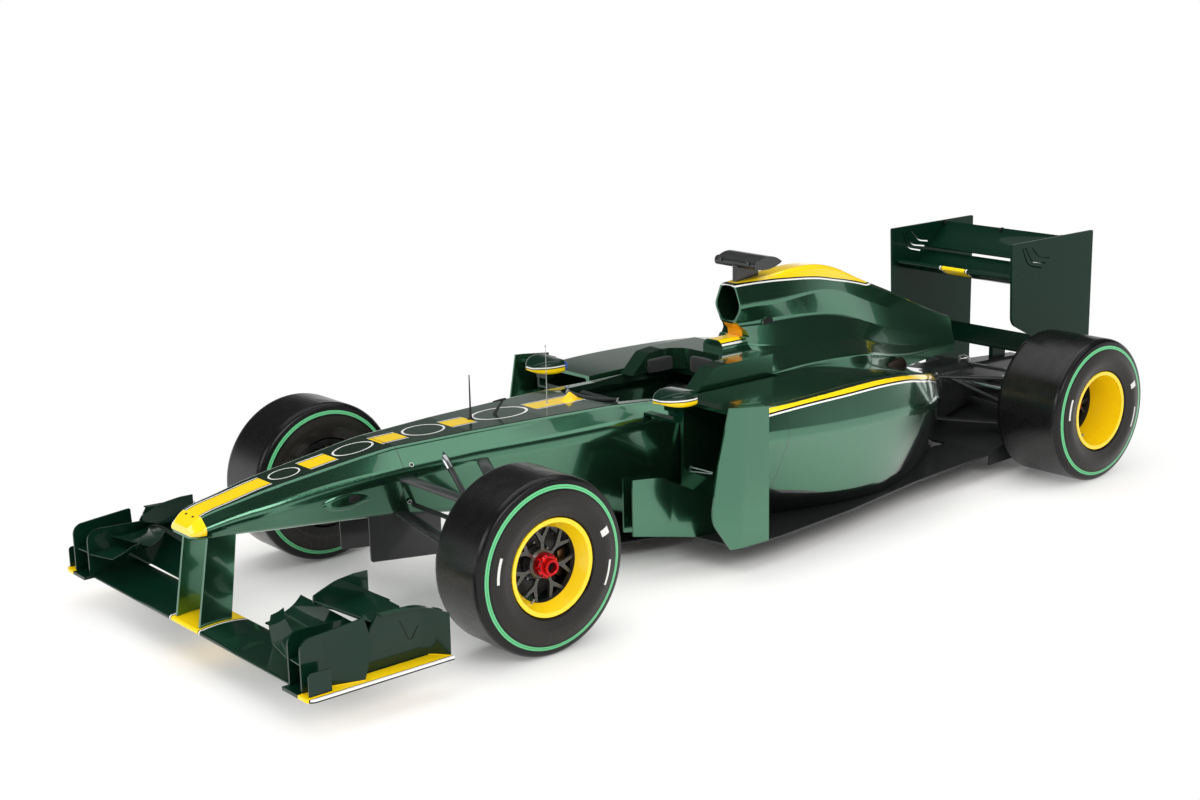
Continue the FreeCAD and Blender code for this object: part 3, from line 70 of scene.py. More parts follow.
class PaintSettings(bpy.types.PropertyGroup):
    """Colours of the bodywork and wheels."""

    body: bpy.props.FloatVectorProperty(
        name="Body", description="Racing green of the bodywork", subtype="COLOR_GAMMA", size=3,
        default=(0.265, 0.475, 0.365),
    )
    # The wings and mirrors carry the body's green; this deeper copy is that green painted darker as shade
    wings: bpy.props.FloatVectorProperty(
        name="Wings", description="Deeper green of the wings and mirrors", subtype="COLOR_GAMMA", size=3,
        default=(0.032, 0.165, 0.115),
    )
    accent: bpy.props.FloatVectorProperty(
        name="Accent", description="Yellow of the stripes and wheels", subtype="COLOR_GAMMA", size=3,
        default=(1.0, 0.84, 0.05),
    )
    tyre_ring: bpy.props.FloatVectorProperty(
        name="Tyre ring", description="Green ring on the tyre walls", subtype="COLOR_GAMMA", size=3,
        default=(0.40, 0.76, 0.52),
    )


class FittingSettings(bpy.types.PropertyGroup):
    """Sizes of the fittings."""

    antenna_height: bpy.props.FloatProperty(
        name="Antenna height", description="Height of the front antenna", default=0.17, unit="LENGTH",
    )
    fastener_radius: bpy.props.FloatProperty(
        name="Fastener", description="Radius of a panel fastener", default=0.006, unit="LENGTH",
    )
    disc_radius: bpy.props.FloatProperty(
        name="Brake disc", description="Radius of a brake disc", default=0.139, unit="LENGTH",
    )


def hex_of(colour):
    """sRGB hex value of a colour setting."""
    return "#" + "".join(f"{round(part * 255):02x}" for part in colour)


def yellow():
    return linear(hex_of(bpy.context.scene.car_paint.accent))


# Nodes


def node(tree, kind, settings=None, inputs=None):
    """Adds one node with its settings; an input takes a value or a socket to link."""
    made = tree.nodes.new(kind)
    for name, value in (settings or {}).items():
        setattr(made, name, value)
    for name, value in (inputs or {}).items():
        if isinstance(value, bpy.types.NodeSocket):
            tree.links.new(value, made.inputs[name])
        else:
            made.inputs[name].default_value = value
    return made


def new_material(name):
    material = bpy.data.materials.new(name)
    material.use_nodes = True
    material.node_tree.nodes.clear()
    return material, material.node_tree


def finish(material, inputs):
    """Ends a material with its shader."""
    tree = material.node_tree
    shader = node(tree, "ShaderNodeBsdfPrincipled", {}, inputs)
    node(tree, "ShaderNodeOutputMaterial", {}, {"Surface": shader.outputs["BSDF"]})
    return material


def object_axes(tree, centre=(0.0, 0.0, 0.0)):
    """Object coordinates from a centre, and their three axes."""
    place = node(tree, "ShaderNodeTexCoord").outputs["Object"]
    moved = node(tree, "ShaderNodeVectorMath", {"operation": "SUBTRACT"}, {0: place, 1: centre}).outputs[0]
    axes = node(tree, "ShaderNodeSeparateXYZ", {}, {0: moved})
    return moved, axes.outputs


def within(tree, value, low, high):
    """1 where a value lies between two limits."""
    inputs = {0: value, 1: (low + high) / 2, 2: (high - low) / 2}
    return node(tree, "ShaderNodeMath", {"operation": "COMPARE"}, inputs).outputs[0]


def all_of(tree, *masks):
    """1 where every mask is 1."""
    result = masks[0]
    for mask in masks[1:]:
        result = node(tree, "ShaderNodeMath", {"operation": "MULTIPLY"}, {0: result, 1: mask}).outputs[0]
    return result


def any_of(tree, *masks):
    """1 where one of the masks is 1."""
    result = masks[0]
    for mask in masks[1:]:
        result = node(tree, "ShaderNodeMath", {"operation": "MAXIMUM"}, {0: result, 1: mask}).outputs[0]
    return result


def facing_up(tree, limit):
    """1 where the surface faces up by more than a limit."""
    normal = node(tree, "ShaderNodeNewGeometry").outputs["Normal"]
    upward = node(tree, "ShaderNodeSeparateXYZ", {}, {0: normal}).outputs[2]
    return node(tree, "ShaderNodeMath", {"operation": "GREATER_THAN"}, {0: upward, 1: limit}).outputs[0]


def from_middle(tree, across):
    """Distance to either side of the car's middle."""
    return node(tree, "ShaderNodeMath", {"operation": "ABSOLUTE"}, {0: across}).outputs[0]


def from_axle(tree, place):
    """Distance from an axle that lies across the car."""
    flat = node(tree, "ShaderNodeVectorMath", {"operation": "MULTIPLY"}, {0: place, 1: (1.0, 0.0, 1.0)}).outputs[0]
    return node(tree, "ShaderNodeVectorMath", {"operation": "LENGTH"}, {0: flat}).outputs["Value"]


def height_over(tree, along, height, line):
    """Height above a drawn line of (x, height) points."""
    first, last = min(point[0] for point in line), max(point[0] for point in line)
    low, high = min(point[1] for point in line), max(point[1] for point in line)
    share = node(
        tree, "ShaderNodeMapRange", {"clamp": True},
        {"Value": along, "From Min": first, "From Max": last, "To Min": 0.0, "To Max": 1.0},
    ).outputs[0]
    curve = node(tree, "ShaderNodeFloatCurve", {}, {"Value": share})
    points = curve.mapping.curves[0].points
    places = sorted(((x - first) / (last - first), (z - low) / (high - low)) for x, z in line)
    points[0].location = places[0]
    points[-1].location = places[-1]
    for spot in places[1:-1]:
        points.new(*spot)
    curve.mapping.update()
    drawn = node(
        tree, "ShaderNodeMapRange", {"clamp": False},
        {"Value": curve.outputs[0], "From Min": 0.0, "From Max": 1.0, "To Min": low, "To Max": high},
    ).outputs[0]
    return node(tree, "ShaderNodeMath", {"operation": "SUBTRACT"}, {0: height, 1: drawn}).outputs[0]


def painted(tree, ground, marks):
    """Colour of the ground with each (mask, colour) laid over it in turn."""
    colour = ground
    for mask, mark in marks:
        inputs = {"Factor": mask, 6: colour, 7: mark}
        colour = node(tree, "ShaderNodeMix", {"data_type": "RGBA"}, inputs).outputs[2]
    return colour


def bands(tree, extent, value, rows):
    """A (mask, colour) for each (low, high, colour) band of a value, inside an extent."""
    return [(all_of(tree, extent, within(tree, value, low, high)), colour) for low, high, colour in rows]


def speckle(tree, place, spacing, low, high):
    """Fine noise with its grains this far apart, between two values."""
    grain = node(tree, "ShaderNodeTexNoise", {}, {"Vector": place, "Scale": 1 / spacing, "Detail": 2.0}).outputs["Fac"]
    return node(
        tree, "ShaderNodeMapRange", {},
        {"Value": grain, "From Min": 0.3, "From Max": 0.7, "To Min": low, "To Max": high},
    ).outputs[0]


# Paint and its marks

# Shader inputs of the two paints. The bodywork looks nearly black where it mirrors a dark ceiling and pale green
# where it mirrors a bright floor; the wings have less flake, and their green is the body's green painted darker as
# shade.
BODY_PAINT = {"Metallic": 0.93, "Roughness": 0.17, "Specular IOR Level": 0.5, "Coat Weight": 1.0}
WING_PAINT = {"Metallic": 0.15, "Roughness": 0.3, "Specular IOR Level": 0.1, "Coat Weight": 0.6}


def coated_paint(name, marks=None, wing=False, coat=None):
    """Metallic two-layer car paint: green flakes under a smooth clear coat, which mirrors less when it is thin."""
    paint = bpy.context.scene.car_paint
    kind = WING_PAINT if wing else BODY_PAINT
    material, tree = new_material(name)
    place, axes = object_axes(tree)
    # Flakes are 0.05 mm; drawn 2 mm apart so that they show at all
    flake = speckle(tree, place, 0.002, 0.92, 1.08)
    # The wings take the body's green painted darker, as painted shade
    green = linear(hex_of(paint.wings if wing else paint.body))
    ground = node(
        tree, "ShaderNodeMix", {"data_type": "RGBA", "blend_type": "MULTIPLY"}, {"Factor": 1.0, 6: green, 7: flake}
    ).outputs[2]
    inputs = {**kind, "Base Color": ground, "IOR": 1.5, "Coat Roughness": 0.015, "Coat IOR": 1.5}
    if coat:
        inputs["Coat Weight"] = coat
    if marks:
        layers = marks(tree, place, axes)
        inputs["Base Color"] = painted(tree, ground, layers)
        solid = any_of(tree, *(mask for mask, mark in layers))
        inputs["Metallic"] = node(
            tree, "ShaderNodeMapRange", {}, {"Value": solid, "To Min": kind["Metallic"], "To Max": 0.0}
        ).outputs[0]
    return finish(material, inputs)


def stripe_layers(tree, across, extent, half, line):
    """Yellow stripe with a black line and then a white line along each edge."""
    return bands(tree, extent, from_middle(tree, across), (
        (half + line, half + 2.2 * line, WHITE), (half - 0.001, half + line, BLACK), (-1.0, half, yellow()),
    ))


# Half the width of a seam between panels, in metres
SEAM_HALF = 0.0012


def seams(tree, along, stations, extent):
    """Dark seams between panels, at stations along the car."""
    rows = [(station - SEAM_HALF, station + SEAM_HALF, BLACK) for station in stations]
    return bands(tree, extent, along, rows)


# Yellow lengths of the nose stripe; the middle, half length and half width of the blank roundels between them
STRIPE_LENGTHS = ((2.021, 2.60), (1.740, 1.858), (1.425, 1.545), (1.103, 1.220), (0.555, 0.807))
ROUNDELS = ((1.940, 0.062, 0.050), (1.642, 0.086, 0.056), (1.322, 0.090, 0.072), (0.955, 0.130, 0.080))
BULKHEAD_SEAM = (1.5295, 1.5325)


def nose_marks(tree, place, axes):
    """Centre stripe of the nose, broken by blank roundels; a bulkhead seam."""
    top = facing_up(tree, 0.25)
    lengths = any_of(tree, *(within(tree, axes[0], low, high) for low, high in STRIPE_LENGTHS))
    layers = stripe_layers(tree, axes[1], all_of(tree, top, lengths), 0.044, 0.005)
    for middle, half_length, half_width in ROUNDELS:
        flat = node(
            tree, "ShaderNodeVectorMath", {"operation": "MULTIPLY_ADD"},
            {0: place, 1: (1 / half_length, 1 / half_width, 0.0), 2: (-middle / half_length, 0.0, 0.0)},
        ).outputs[0]
        reach = node(tree, "ShaderNodeVectorMath", {"operation": "LENGTH"}, {0: flat}).outputs["Value"]
        layers += bands(tree, top, reach, ((0.90, 1.0, WHITE),))
    # The stripe spreads over the whole blunt tip
    tip = all_of(tree, within(tree, axes[0], 2.316, 2.6), within(tree, axes[2], 0.474, 0.6))
    return layers + [(tip, yellow()), (within(tree, axes[0], *BULKHEAD_SEAM), BLACK)]


# Lower edge of the yellow spine, as (x, height) points
COVER_LINE = (
    (-1.16, 0.900), (-1.06, 0.927), (-0.92, 0.958), (-0.77, 0.987), (-0.61, 1.003), (-0.47, 1.010), (-0.25, 1.008),
)
COVER_SEAMS = (-0.70, -1.32)
# Limits of the patch under the intake on each axis
INTAKE_PATCH = ((-0.350, -0.300), (-0.046, 0.043), (0.772, 0.830))


def cover_marks(tree, place, axes):
    """Yellow spine of the engine cover with its lines, panel seams and the patch under the intake."""
    over = height_over(tree, axes[0], axes[2], COVER_LINE)
    ahead = within(tree, axes[0], -1.20, 0.0)
    spine = bands(tree, ahead, over, ((0.0, 0.5, yellow()), (-0.006, 0.0, BLACK), (-0.0125, -0.006, WHITE)))
    patch = all_of(tree, *(within(tree, axes[axis], *limits) for axis, limits in enumerate(INTAKE_PATCH)))
    side = within(tree, axes[2], 0.6, 0.985)
    return spine + [(patch, linear("#f2a416"))] + seams(tree, axes[0], COVER_SEAMS, side)


# Stripe of the sidepod's shoulder and upper edge of the painted shade below it, as (x, height) points
POD_LINE = (
    (-1.42, 0.452), (-1.27, 0.490), (-1.011, 0.562), (-0.676, 0.621), (-0.33, 0.634), (-0.035, 0.637), (0.16, 0.629),
)
POD_SHADE = (
    (-1.42, 0.430), (-1.205, 0.414), (-0.946, 0.342), (-0.80, 0.215), (-0.641, 0.165), (-0.079, 0.251), (0.26, 0.33),
)
POD_SEAMS = (0.02, -1.05)


def pod_marks(tree, place, axes):
    """Stripe along the sidepod's shoulder, painted shade low on its side, and panel seams."""
    over = height_over(tree, axes[0], axes[2], POD_LINE)
    shade = height_over(tree, axes[0], axes[2], POD_SHADE)
    steep = node(tree, "ShaderNodeMath", {"operation": "SUBTRACT"}, {0: 1.0, 1: facing_up(tree, 0.86)}).outputs[0]
    beside = within(tree, from_middle(tree, axes[1]), 0.34, 0.9)
    outside = all_of(tree, beside, within(tree, axes[0], -1.42, 0.146), steep)
    stripe = bands(tree, outside, over, (
        (-0.013, 0.030, yellow()), (-0.019, -0.013, BLACK), (-0.0255, -0.019, WHITE),
    ))
    # Below this line the pod's side is painted near black as shade
    undercut_shade = bands(tree, outside, shade, ((-1.0, 0.0, linear("#101412")),))
    return stripe + undercut_shade + seams(tree, axes[0], POD_SEAMS, within(tree, over, -0.4, -0.027))


def wing_marks(tree, place, axes):
    """Yellow middle of the front wing between the pylons."""
    return stripe_layers(tree, axes[1], within(tree, axes[2], 0.0, 0.3), 0.098, 0.006)


def rear_wing_marks(tree, place, axes):
    """Yellow middle of the rear wing's leading edge."""
    return stripe_layers(tree, axes[1], within(tree, axes[0], REAR_AXLE_X - 0.062, 0.0), 0.070, 0.006)


def foot_marks(tree, place, axes):
    """Yellow foot of a front endplate with a dark line and a white outer edge."""
    beside = from_middle(tree, axes[1])
    foot = all_of(tree, within(tree, axes[2], 0.0, 0.1365), within(tree, beside, 0.828, 1.0))
    edge = all_of(tree, foot, within(tree, beside, 0.891, 1.0))
    line = bands(tree, foot, beside, ((0.887, 0.891, BLACK),))
    return [(foot, yellow())] + line + bands(tree, edge, axes[2], ((0.127, 0.2, WHITE), (0.0, 0.127, BLACK)))


def headrest_marks(tree, place, axes):
    """Yellow strip on top of the headrest."""
    extent = all_of(tree, within(tree, axes[0], -0.42, -0.19), facing_up(tree, 0.35), within(tree, axes[2], 0.735, 0.9))
    return stripe_layers(tree, axes[1], extent, 0.050, 0.004)


def mirror_marks(tree, place, axes):
    """Yellow lower band of a mirror housing under a white line, with a dark line between."""
    housing = within(tree, from_middle(tree, axes[1]), 0.328, 0.6)
    return bands(tree, housing, axes[2], ((0.661, 0.688, yellow()), (0.688, 0.692, BLACK), (0.692, 0.698, WHITE)))


# Other finishes


def relief(material, share, tones, height, bump, inputs):
    """Finish between two tones, raised by a height with a (strength, depth in metres)."""
    tree = material.node_tree
    colour = painted(tree, linear(tones[0]), [(share, linear(tones[1]))])
    raised = node(tree, "ShaderNodeBump", {}, {"Strength": bump[0], "Distance": bump[1], "Height": height}).outputs[0]
    return finish(material, {"Base Color": colour, "Normal": raised, **inputs})


def carbon_fibre(name, coat=0.5):
    """Carbon fibre laminate under resin: 2 x 2 twill, dark grey, with a faint diagonal sheen."""
    material, tree = new_material(name)
    place = object_axes(tree)[0]
    # Tows are 2 mm wide; drawn 4 mm wide so that the weave shows
    weave = node(
        tree, "ShaderNodeTexWave", {"bands_direction": "DIAGONAL"}, {"Vector": place, "Scale": 60.0}
    ).outputs["Fac"]
    return relief(material, weave, ("#1a1b1c", "#2a2b2c"), weave, (0.08, 0.0003), {
        "Roughness": 0.42, "IOR": 1.5, "Coat Weight": coat, "Coat Roughness": 0.12,
    })


# Radius of the green ring's outer edge, and the white dashes of the tyre walls: start and end in turns from the
# rear, inner and outer radius
WALL_RING = 0.300
WALL_DASHES = ((0.048, 0.066, 0.226, 0.262), (0.440, 0.500, 0.246, 0.256), (-0.075, -0.015, 0.246, 0.256))


def tyre_rubber(name, centre, tread_half):
    """Slick tyre rubber: soft sheen on the tread, finer on the wall, with a green ring and parting lines."""
    material, tree = new_material(name)
    moved, axes = object_axes(tree, centre)
    radius, beside = from_axle(tree, moved), from_middle(tree, axes[1])
    wall = within(tree, beside, tread_half, 1.0)
    smooth_wall = all_of(tree, wall, within(tree, radius, 0.19, WALL_RING - 0.022))
    grain = speckle(tree, moved, 0.0025, 0.0, 1.0)
    rearward = node(tree, "ShaderNodeMath", {"operation": "MULTIPLY"}, {0: axes[0], 1: -1.0}).outputs[0]
    angle = node(tree, "ShaderNodeMath", {"operation": "ARCTAN2"}, {0: axes[2], 1: rearward}).outputs[0]
    turns = node(tree, "ShaderNodeMath", {"operation": "DIVIDE"}, {0: angle, 1: 2 * math.pi}).outputs[0]
    dashes = any_of(tree, *(
        all_of(tree, within(tree, turns, start, end), within(tree, radius, inner, outer))
        for start, end, inner, outer in WALL_DASHES
    ))
    ring = bands(tree, wall, radius, (
        (WALL_RING - 0.014, WALL_RING, linear(hex_of(bpy.context.scene.car_paint.tyre_ring))),
        (WALL_RING - 0.0085, WALL_RING - 0.0065, linear("#2c8a58")),
    ))
    colour = painted(tree, linear("#0b0b0b"), [
        (grain, linear("#131313")), (smooth_wall, linear("#24211e")), *ring,
        (all_of(tree, smooth_wall, dashes), linear("#dcdcd8")),
    ])
    # Moulding lines, 1 mm deep, where the wall meets the tread and beside the bead
    lines = any_of(
        tree, within(tree, beside, tread_half + 0.004, tread_half + 0.006),
        within(tree, beside, tread_half - 0.014, tread_half - 0.0125),
        all_of(tree, wall, within(tree, radius, 0.2005, 0.2025)),
        all_of(tree, wall, within(tree, radius, 0.269, 0.2705)),
    )
    bump = node(tree, "ShaderNodeBump", {}, {"Strength": 0.5, "Distance": 0.001, "Height": lines}).outputs[0]
    # Rubbed patches of the tread, 80 mm across, shine more
    rubbed = speckle(tree, moved, 0.08, 0.22, 0.32)
    level = node(tree, "ShaderNodeMapRange", {}, {"Value": wall, "To Min": 0.5, "To Max": 0.3}).outputs[0]
    return finish(material, {
        "Base Color": colour, "Roughness": rubbed, "IOR": 1.52, "Specular IOR Level": level, "Normal": bump,
    })


def wheel_enamel(name, centre, side, throat, depth):
    """Cast magnesium wheel: yellow enamel on the dish and lips, dark grey metal on the spokes with a painted highlight
    on their edges.
    """
    material, tree = new_material(name)
    moved, axes = object_axes(tree, centre)
    radius = from_axle(tree, moved)
    outward = node(tree, "ShaderNodeMath", {"operation": "MULTIPLY"}, {0: axes[1], 1: float(side)}).outputs[0]
    dish = all_of(tree, within(tree, radius, throat, 0.2), within(tree, outward, depth, 0.3))
    spokes = within(tree, radius, 0.0, throat)
    # Edges show where the normal rounded over 1.2 mm leaves the true one; spoke edges get a painted highlight
    rounded = node(tree, "ShaderNodeBevel", {"samples": 4}, {"Radius": 0.0012}).outputs[0]
    true = node(tree, "ShaderNodeNewGeometry").outputs["Normal"]
    agree = node(tree, "ShaderNodeVectorMath", {"operation": "DOT_PRODUCT"}, {0: rounded, 1: true}).outputs["Value"]
    edge = all_of(tree, spokes, within(tree, agree, -1.0, 0.97))
    layers = [(spokes, linear("#4a4a47")), (edge, linear("#c4c2bd")), (dish, yellow())]
    colour = painted(tree, linear("#232322"), layers)
    metallic = node(tree, "ShaderNodeMapRange", {}, {"Value": dish, "To Min": 0.7, "To Max": 0.0}).outputs[0]
    rough = node(tree, "ShaderNodeMapRange", {}, {"Value": dish, "To Min": 0.34, "To Max": 0.26}).outputs[0]
    return finish(material, {
        "Base Color": colour, "Metallic": metallic, "Roughness": rough, "Coat Weight": 0.5, "Coat Roughness": 0.05,
    })


def plain_metal(name, code, roughness):
    """Machined or ground metal: an even sheen with tool marks 1.5 mm apart."""
    material, tree = new_material(name)
    rough = speckle(tree, object_axes(tree)[0], 0.0015, roughness * 0.8, roughness * 1.2)
    return finish(material, {"Base Color": linear(code), "Metallic": 1.0, "Roughness": rough})


def plain_finish(name, tones, roughness, spacing=0.01, coat=0.0):
    """Painted, moulded or coated surface: slight mottling between two near tones."""
    material, tree = new_material(name)
    grain = speckle(tree, object_axes(tree)[0], spacing, 0.0, 1.0)
    return relief(material, grain, tones, grain, (0.1, 0.0004), {
        "Roughness": roughness, "Coat Weight": coat, "Coat Roughness": 0.05,
    })


def anodised_red():
    """Red anodised aluminium: clear metal under a dyed skin, satin, with fine tool marks."""
    material, tree = new_material("red_anodised_alloy")
    grain = speckle(tree, object_axes(tree)[0], 0.0012, 0.0, 1.0)
    colour = painted(tree, linear("#d0161e"), [(grain, linear("#dc222a"))])
    rough = node(tree, "ShaderNodeMapRange", {}, {"Value": grain, "To Min": 0.2, "To Max": 0.3}).outputs[0]
    return finish(material, {"Base Color": colour, "Metallic": 0.75, "Roughness": rough})


def stitched_leather(name):
    """Soft cover of a pad: fine grain, matt, with a little sheen at its edges."""
    material, tree = new_material(name)
    place = object_axes(tree)[0]
    # Grain cells are 1.5 mm
    cells = node(tree, "ShaderNodeTexVoronoi", {"feature": "DISTANCE_TO_EDGE"}, {"Vector": place, "Scale": 650.0})
    grain = speckle(tree, place, 0.02, 0.0, 1.0)
    return relief(material, grain, ("#111213", "#1a1b1c"), cells.outputs[0], (0.25, 0.0004), {
        "Roughness": 0.62, "Sheen Weight": 0.3,
    })


def woven_belt(name):
    """Polyester belt webbing: 1.5 mm diagonal ribs, black, with a slight sheen."""
    material, tree = new_material(name)
    ribs = node(
        tree, "ShaderNodeTexWave", {"bands_direction": "DIAGONAL"}, {"Vector": object_axes(tree)[0], "Scale": 110.0}
    ).outputs["Fac"]
    return relief(material, ribs, ("#121314", "#26282a"), ribs, (0.4, 0.0005), {"Roughness": 0.7, "Sheen Weight": 0.4})


def mirror_glass():
    """Anti-dazzle mirror glass: a blue front coat over silver."""
    material, tree = new_material("blue_mirror_glass")
    film = speckle(tree, object_axes(tree)[0], 0.03, 0.0, 1.0)
    colour = painted(tree, linear("#2a5fd0"), [(film, linear("#3a72e0"))])
    return finish(material, {"Base Color": colour, "Metallic": 0.6, "Roughness": 0.08, "Coat Weight": 1.0})


def tinted_screen():
    """Smoked polycarbonate sheet, polished, darker towards the bottom."""
    material, tree = new_material("smoked_polycarbonate")
    height = object_axes(tree)[1][2]
    high = node(tree, "ShaderNodeMapRange", {}, {"Value": height, "From Min": 0.648, "From Max": 0.672}).outputs[0]
    colour = painted(tree, linear("#0c0d0d"), [(high, linear("#6d7573"))])
    return finish(material, {
        "Base Color": colour, "Roughness": 0.06, "IOR": 1.58, "Transmission Weight": 0.45, "Coat Weight": 0.5,
    })


def dress(names, material):
    """Gives carried-over nodes a finish."""
    for name in names:
        mesh = NODES[name].data
        mesh.materials.clear()
        mesh.materials.append(material)
        for face in mesh.polygons:
            face.material_index = 0


def pair(stem):
    return [stem + "_" + side for side, sign in SIDES]


# Shapes


def hub(end, sign):
    """Centre of a wheel."""
    if end == "front":
        return Vector((FRONT_AXLE_X, sign * FRONT_WHEEL_Y, WHEEL_HEIGHT))
    return Vector((REAR_AXLE_X, sign * REAR_WHEEL_Y, WHEEL_HEIGHT))


def flip(point, sign):
    """A point or direction of the left side, or the same on the right when the sign is -1."""
    return Vector((point[0], sign * point[1], point[2]))


def on_side(rows, sign):
    """Each (place, facing) of the left side, on one side."""
    return [(flip(place, sign), flip(facing, sign)) for place, facing in rows]


def turned(form, profile, centre, axis, steps=32):
    """Turns a closed profile of (along the axis, radius) points about an axis through a centre."""
    axis = Vector(axis).normalized()
    side = axis.orthogonal().normalized()
    centre = Vector(centre)
    points = [form.verts.new(centre + axis * along + side * radius) for along, radius in profile]
    edges = [form.edges.new((points[i], points[(i + 1) % len(points)])) for i in range(len(points))]
    bmesh.ops.spin(
        form, geom=points + edges, cent=centre, axis=axis, dvec=(0, 0, 0), angle=2 * math.pi, steps=steps,
        use_merge=True, use_duplicate=False,
    )
    bmesh.ops.remove_doubles(form, verts=form.verts, dist=2e-5)
    bmesh.ops.dissolve_degenerate(form, edges=form.edges, dist=1e-5)


def stretched(form, profile, centre, facing, stretch):
    """Turned profile drawn out along the car."""
    turned(form, profile, (0, 0, 0), Vector(facing).normalized(), 40)
    bmesh.ops.scale(form, vec=(stretch, 1.0, 1.0), verts=form.verts[:])
    bmesh.ops.translate(form, vec=Vector(centre), verts=form.verts[:])


def ring_profile(radius, width, height):
    """Flat ring round a fastener, half sunk in its surface."""
    outer = radius + width
    return (
        (-height, radius), (-height, outer), (height * 0.5, outer), (height, radius + width / 2),
        (height * 0.5, radius),
    )


def plug_profile(low, high, radius):
    """Solid round plug between two places on its axis."""
    return ((low, 1e-5), (low, radius), (high, radius), (high, 1e-5))


def bead_profile(radius):
    """Half outline of a small ball."""
    turns = [math.pi * step / 8 for step in range(9)]
    return [(-radius * math.cos(turn), max(radius * math.sin(turn), 1e-5)) for turn in turns]


def stud(form, centre, axis, radius, height, steps=20, rim=0.0):
    """Round head standing on a surface, with its edge bevelled; a rim leaves a dished middle."""
    top = [(0.0, radius), (height * 0.7, radius), (height, radius * 0.86)]
    if rim:
        top += [(height, radius - rim), (height * 0.55, radius - 1.3 * rim)]
    profile = [(-height, 1e-5), (-height, radius)] + top + [(top[-1][0], 1e-5)]
    turned(form, profile, centre, axis, steps)


def studs(form, rows, *size):
    """Studs of one size at (place, facing) rows."""
    for place, facing in rows:
        stud(form, place, facing, *size)


def bolt_ring(form, centre, out, lean, radius, along, count, *size):
    """Studs evenly round an axle; the lean says how far they face along it and away from it."""
    for step in range(count):
        radial = Matrix.Rotation(2 * math.pi * step / count, 3, out) @ UP
        facing = (out * lean[0] + radial * lean[1]).normalized()
        stud(form, centre + out * along + radial * radius, facing, *size)


def arc_block(form, inner, outer, low, high, centre, out, start, sweep):
    """Block bent round an axle, between two radii, closed at both ends."""
    radial = Matrix.Rotation(start, 3, out) @ Vector((-1, 0, 0))
    shoulder = outer - 0.006
    profile = (
        (low, inner), (low, shoulder), (low + 0.006, outer), (high - 0.004, outer), (high, shoulder), (high, inner),
    )
    points = [form.verts.new(centre + out * along + radial * radius) for along, radius in profile]
    edges = [form.edges.new((points[i], points[(i + 1) % len(points)])) for i in range(len(points))]
    made = bmesh.ops.spin(
        form, geom=points + edges, cent=centre, axis=out, dvec=(0, 0, 0), angle=sweep, steps=14,
        use_merge=False, use_duplicate=False,
    )
    form.faces.new(points)
    last = [item for item in made["geom_last"] if isinstance(item, bmesh.types.BMEdge)]
    bmesh.ops.edgeloop_fill(form, edges=last)


def pulled(form, edges):
    """Extrudes edges in place and gives the new ones and their ends."""
    made = bmesh.ops.extrude_edge_only(form, edges=edges)["geom"]
    ends = {item for item in made if isinstance(item, bmesh.types.BMVert)}
    return [item for item in made if isinstance(item, bmesh.types.BMEdge) and set(item.verts) <= ends], list(ends)


def tube(form, points, radius, steps=12):
    """Round rod through points, closed at both ends; a radius for all, or one for each point."""
    points = [Vector(point) for point in points]
    sizes = radius if isinstance(radius, tuple) else (radius,) * len(points)
    ring = bmesh.ops.create_circle(form, cap_ends=True, radius=1.0, segments=steps)["verts"]
    edges = list({edge for vert in ring for edge in vert.link_edges})
    before = Matrix()
    for index, (point, size) in enumerate(zip(points, sizes)):
        ahead = points[min(index + 1, len(points) - 1)] - points[max(index - 1, 0)]
        place = Matrix.Translation(point) @ ahead.to_track_quat("Z", "Y").to_matrix().to_4x4() @ Matrix.Scale(size, 4)
        if index:
            edges, ring = pulled(form, edges)
        bmesh.ops.transform(form, matrix=place @ before.inverted(), verts=ring)
        before = place
    bmesh.ops.edgeloop_fill(form, edges=edges)


def strap(form, points, width, thickness):
    """Flat belt of a width along points, lying across the car."""
    row = [form.verts.new(points[0] + Vector((0, share * width, 0))) for share in (-0.5, -0.25, 0.0, 0.25, 0.5)]
    edges = [form.edges.new(ends) for ends in zip(row, row[1:])]
    for before, after in zip(points, points[1:]):
        edges, row = pulled(form, edges)
        bmesh.ops.translate(form, verts=row, vec=after - before)
    bmesh.ops.solidify(form, geom=form.faces[:], thickness=thickness)


def bevelled(form, edges, offset):
    """Rounds edges in two steps."""
    bmesh.ops.bevel(form, geom=edges, offset=offset, segments=2, profile=0.5, affect="EDGES", material=-1)


def plate(form, corners, thickness, bevel):
    """Flat plate through corners, given a thickness and bevelled edges."""
    face = form.faces.new([form.verts.new(Vector(corner)) for corner in corners])
    face.normal_update()
    made = bmesh.ops.extrude_face_region(form, geom=[face], use_keep_orig=True)
    moved = [item for item in made["geom"] if isinstance(item, bmesh.types.BMVert)]
    bmesh.ops.translate(form, verts=moved, vec=face.normal * thickness)
    bevelled(form, form.edges[:], bevel)


def lined_box(form, low, high, bevel):
    """Box between two corners with bevelled edges."""
    low, high = Vector(low), Vector(high)
    made = bmesh.ops.create_cube(form, size=1.0)["verts"]
    matrix = Matrix.Translation((low + high) / 2) @ Matrix.Diagonal((*(high - low), 1.0))
    bmesh.ops.transform(form, matrix=matrix, verts=made)
    bevelled(form, list({edge for vert in made for edge in vert.link_edges}), bevel)


def teardrop(form, centre, reach, steps):
    """Flat teardrop: a ball blunt in front, drawn out and thin behind."""
    made = bmesh.ops.create_uvsphere(form, u_segments=steps, v_segments=steps // 2, radius=1.0)["verts"]
    for vert in made:
        along, across, up = vert.co
        taper = 1.0 - 0.45 * max(-along, 0.0) ** 1.5
        vert.co = Vector(centre) + Vector((along * reach[0], across * reach[1] * taper, up * reach[2] * taper))


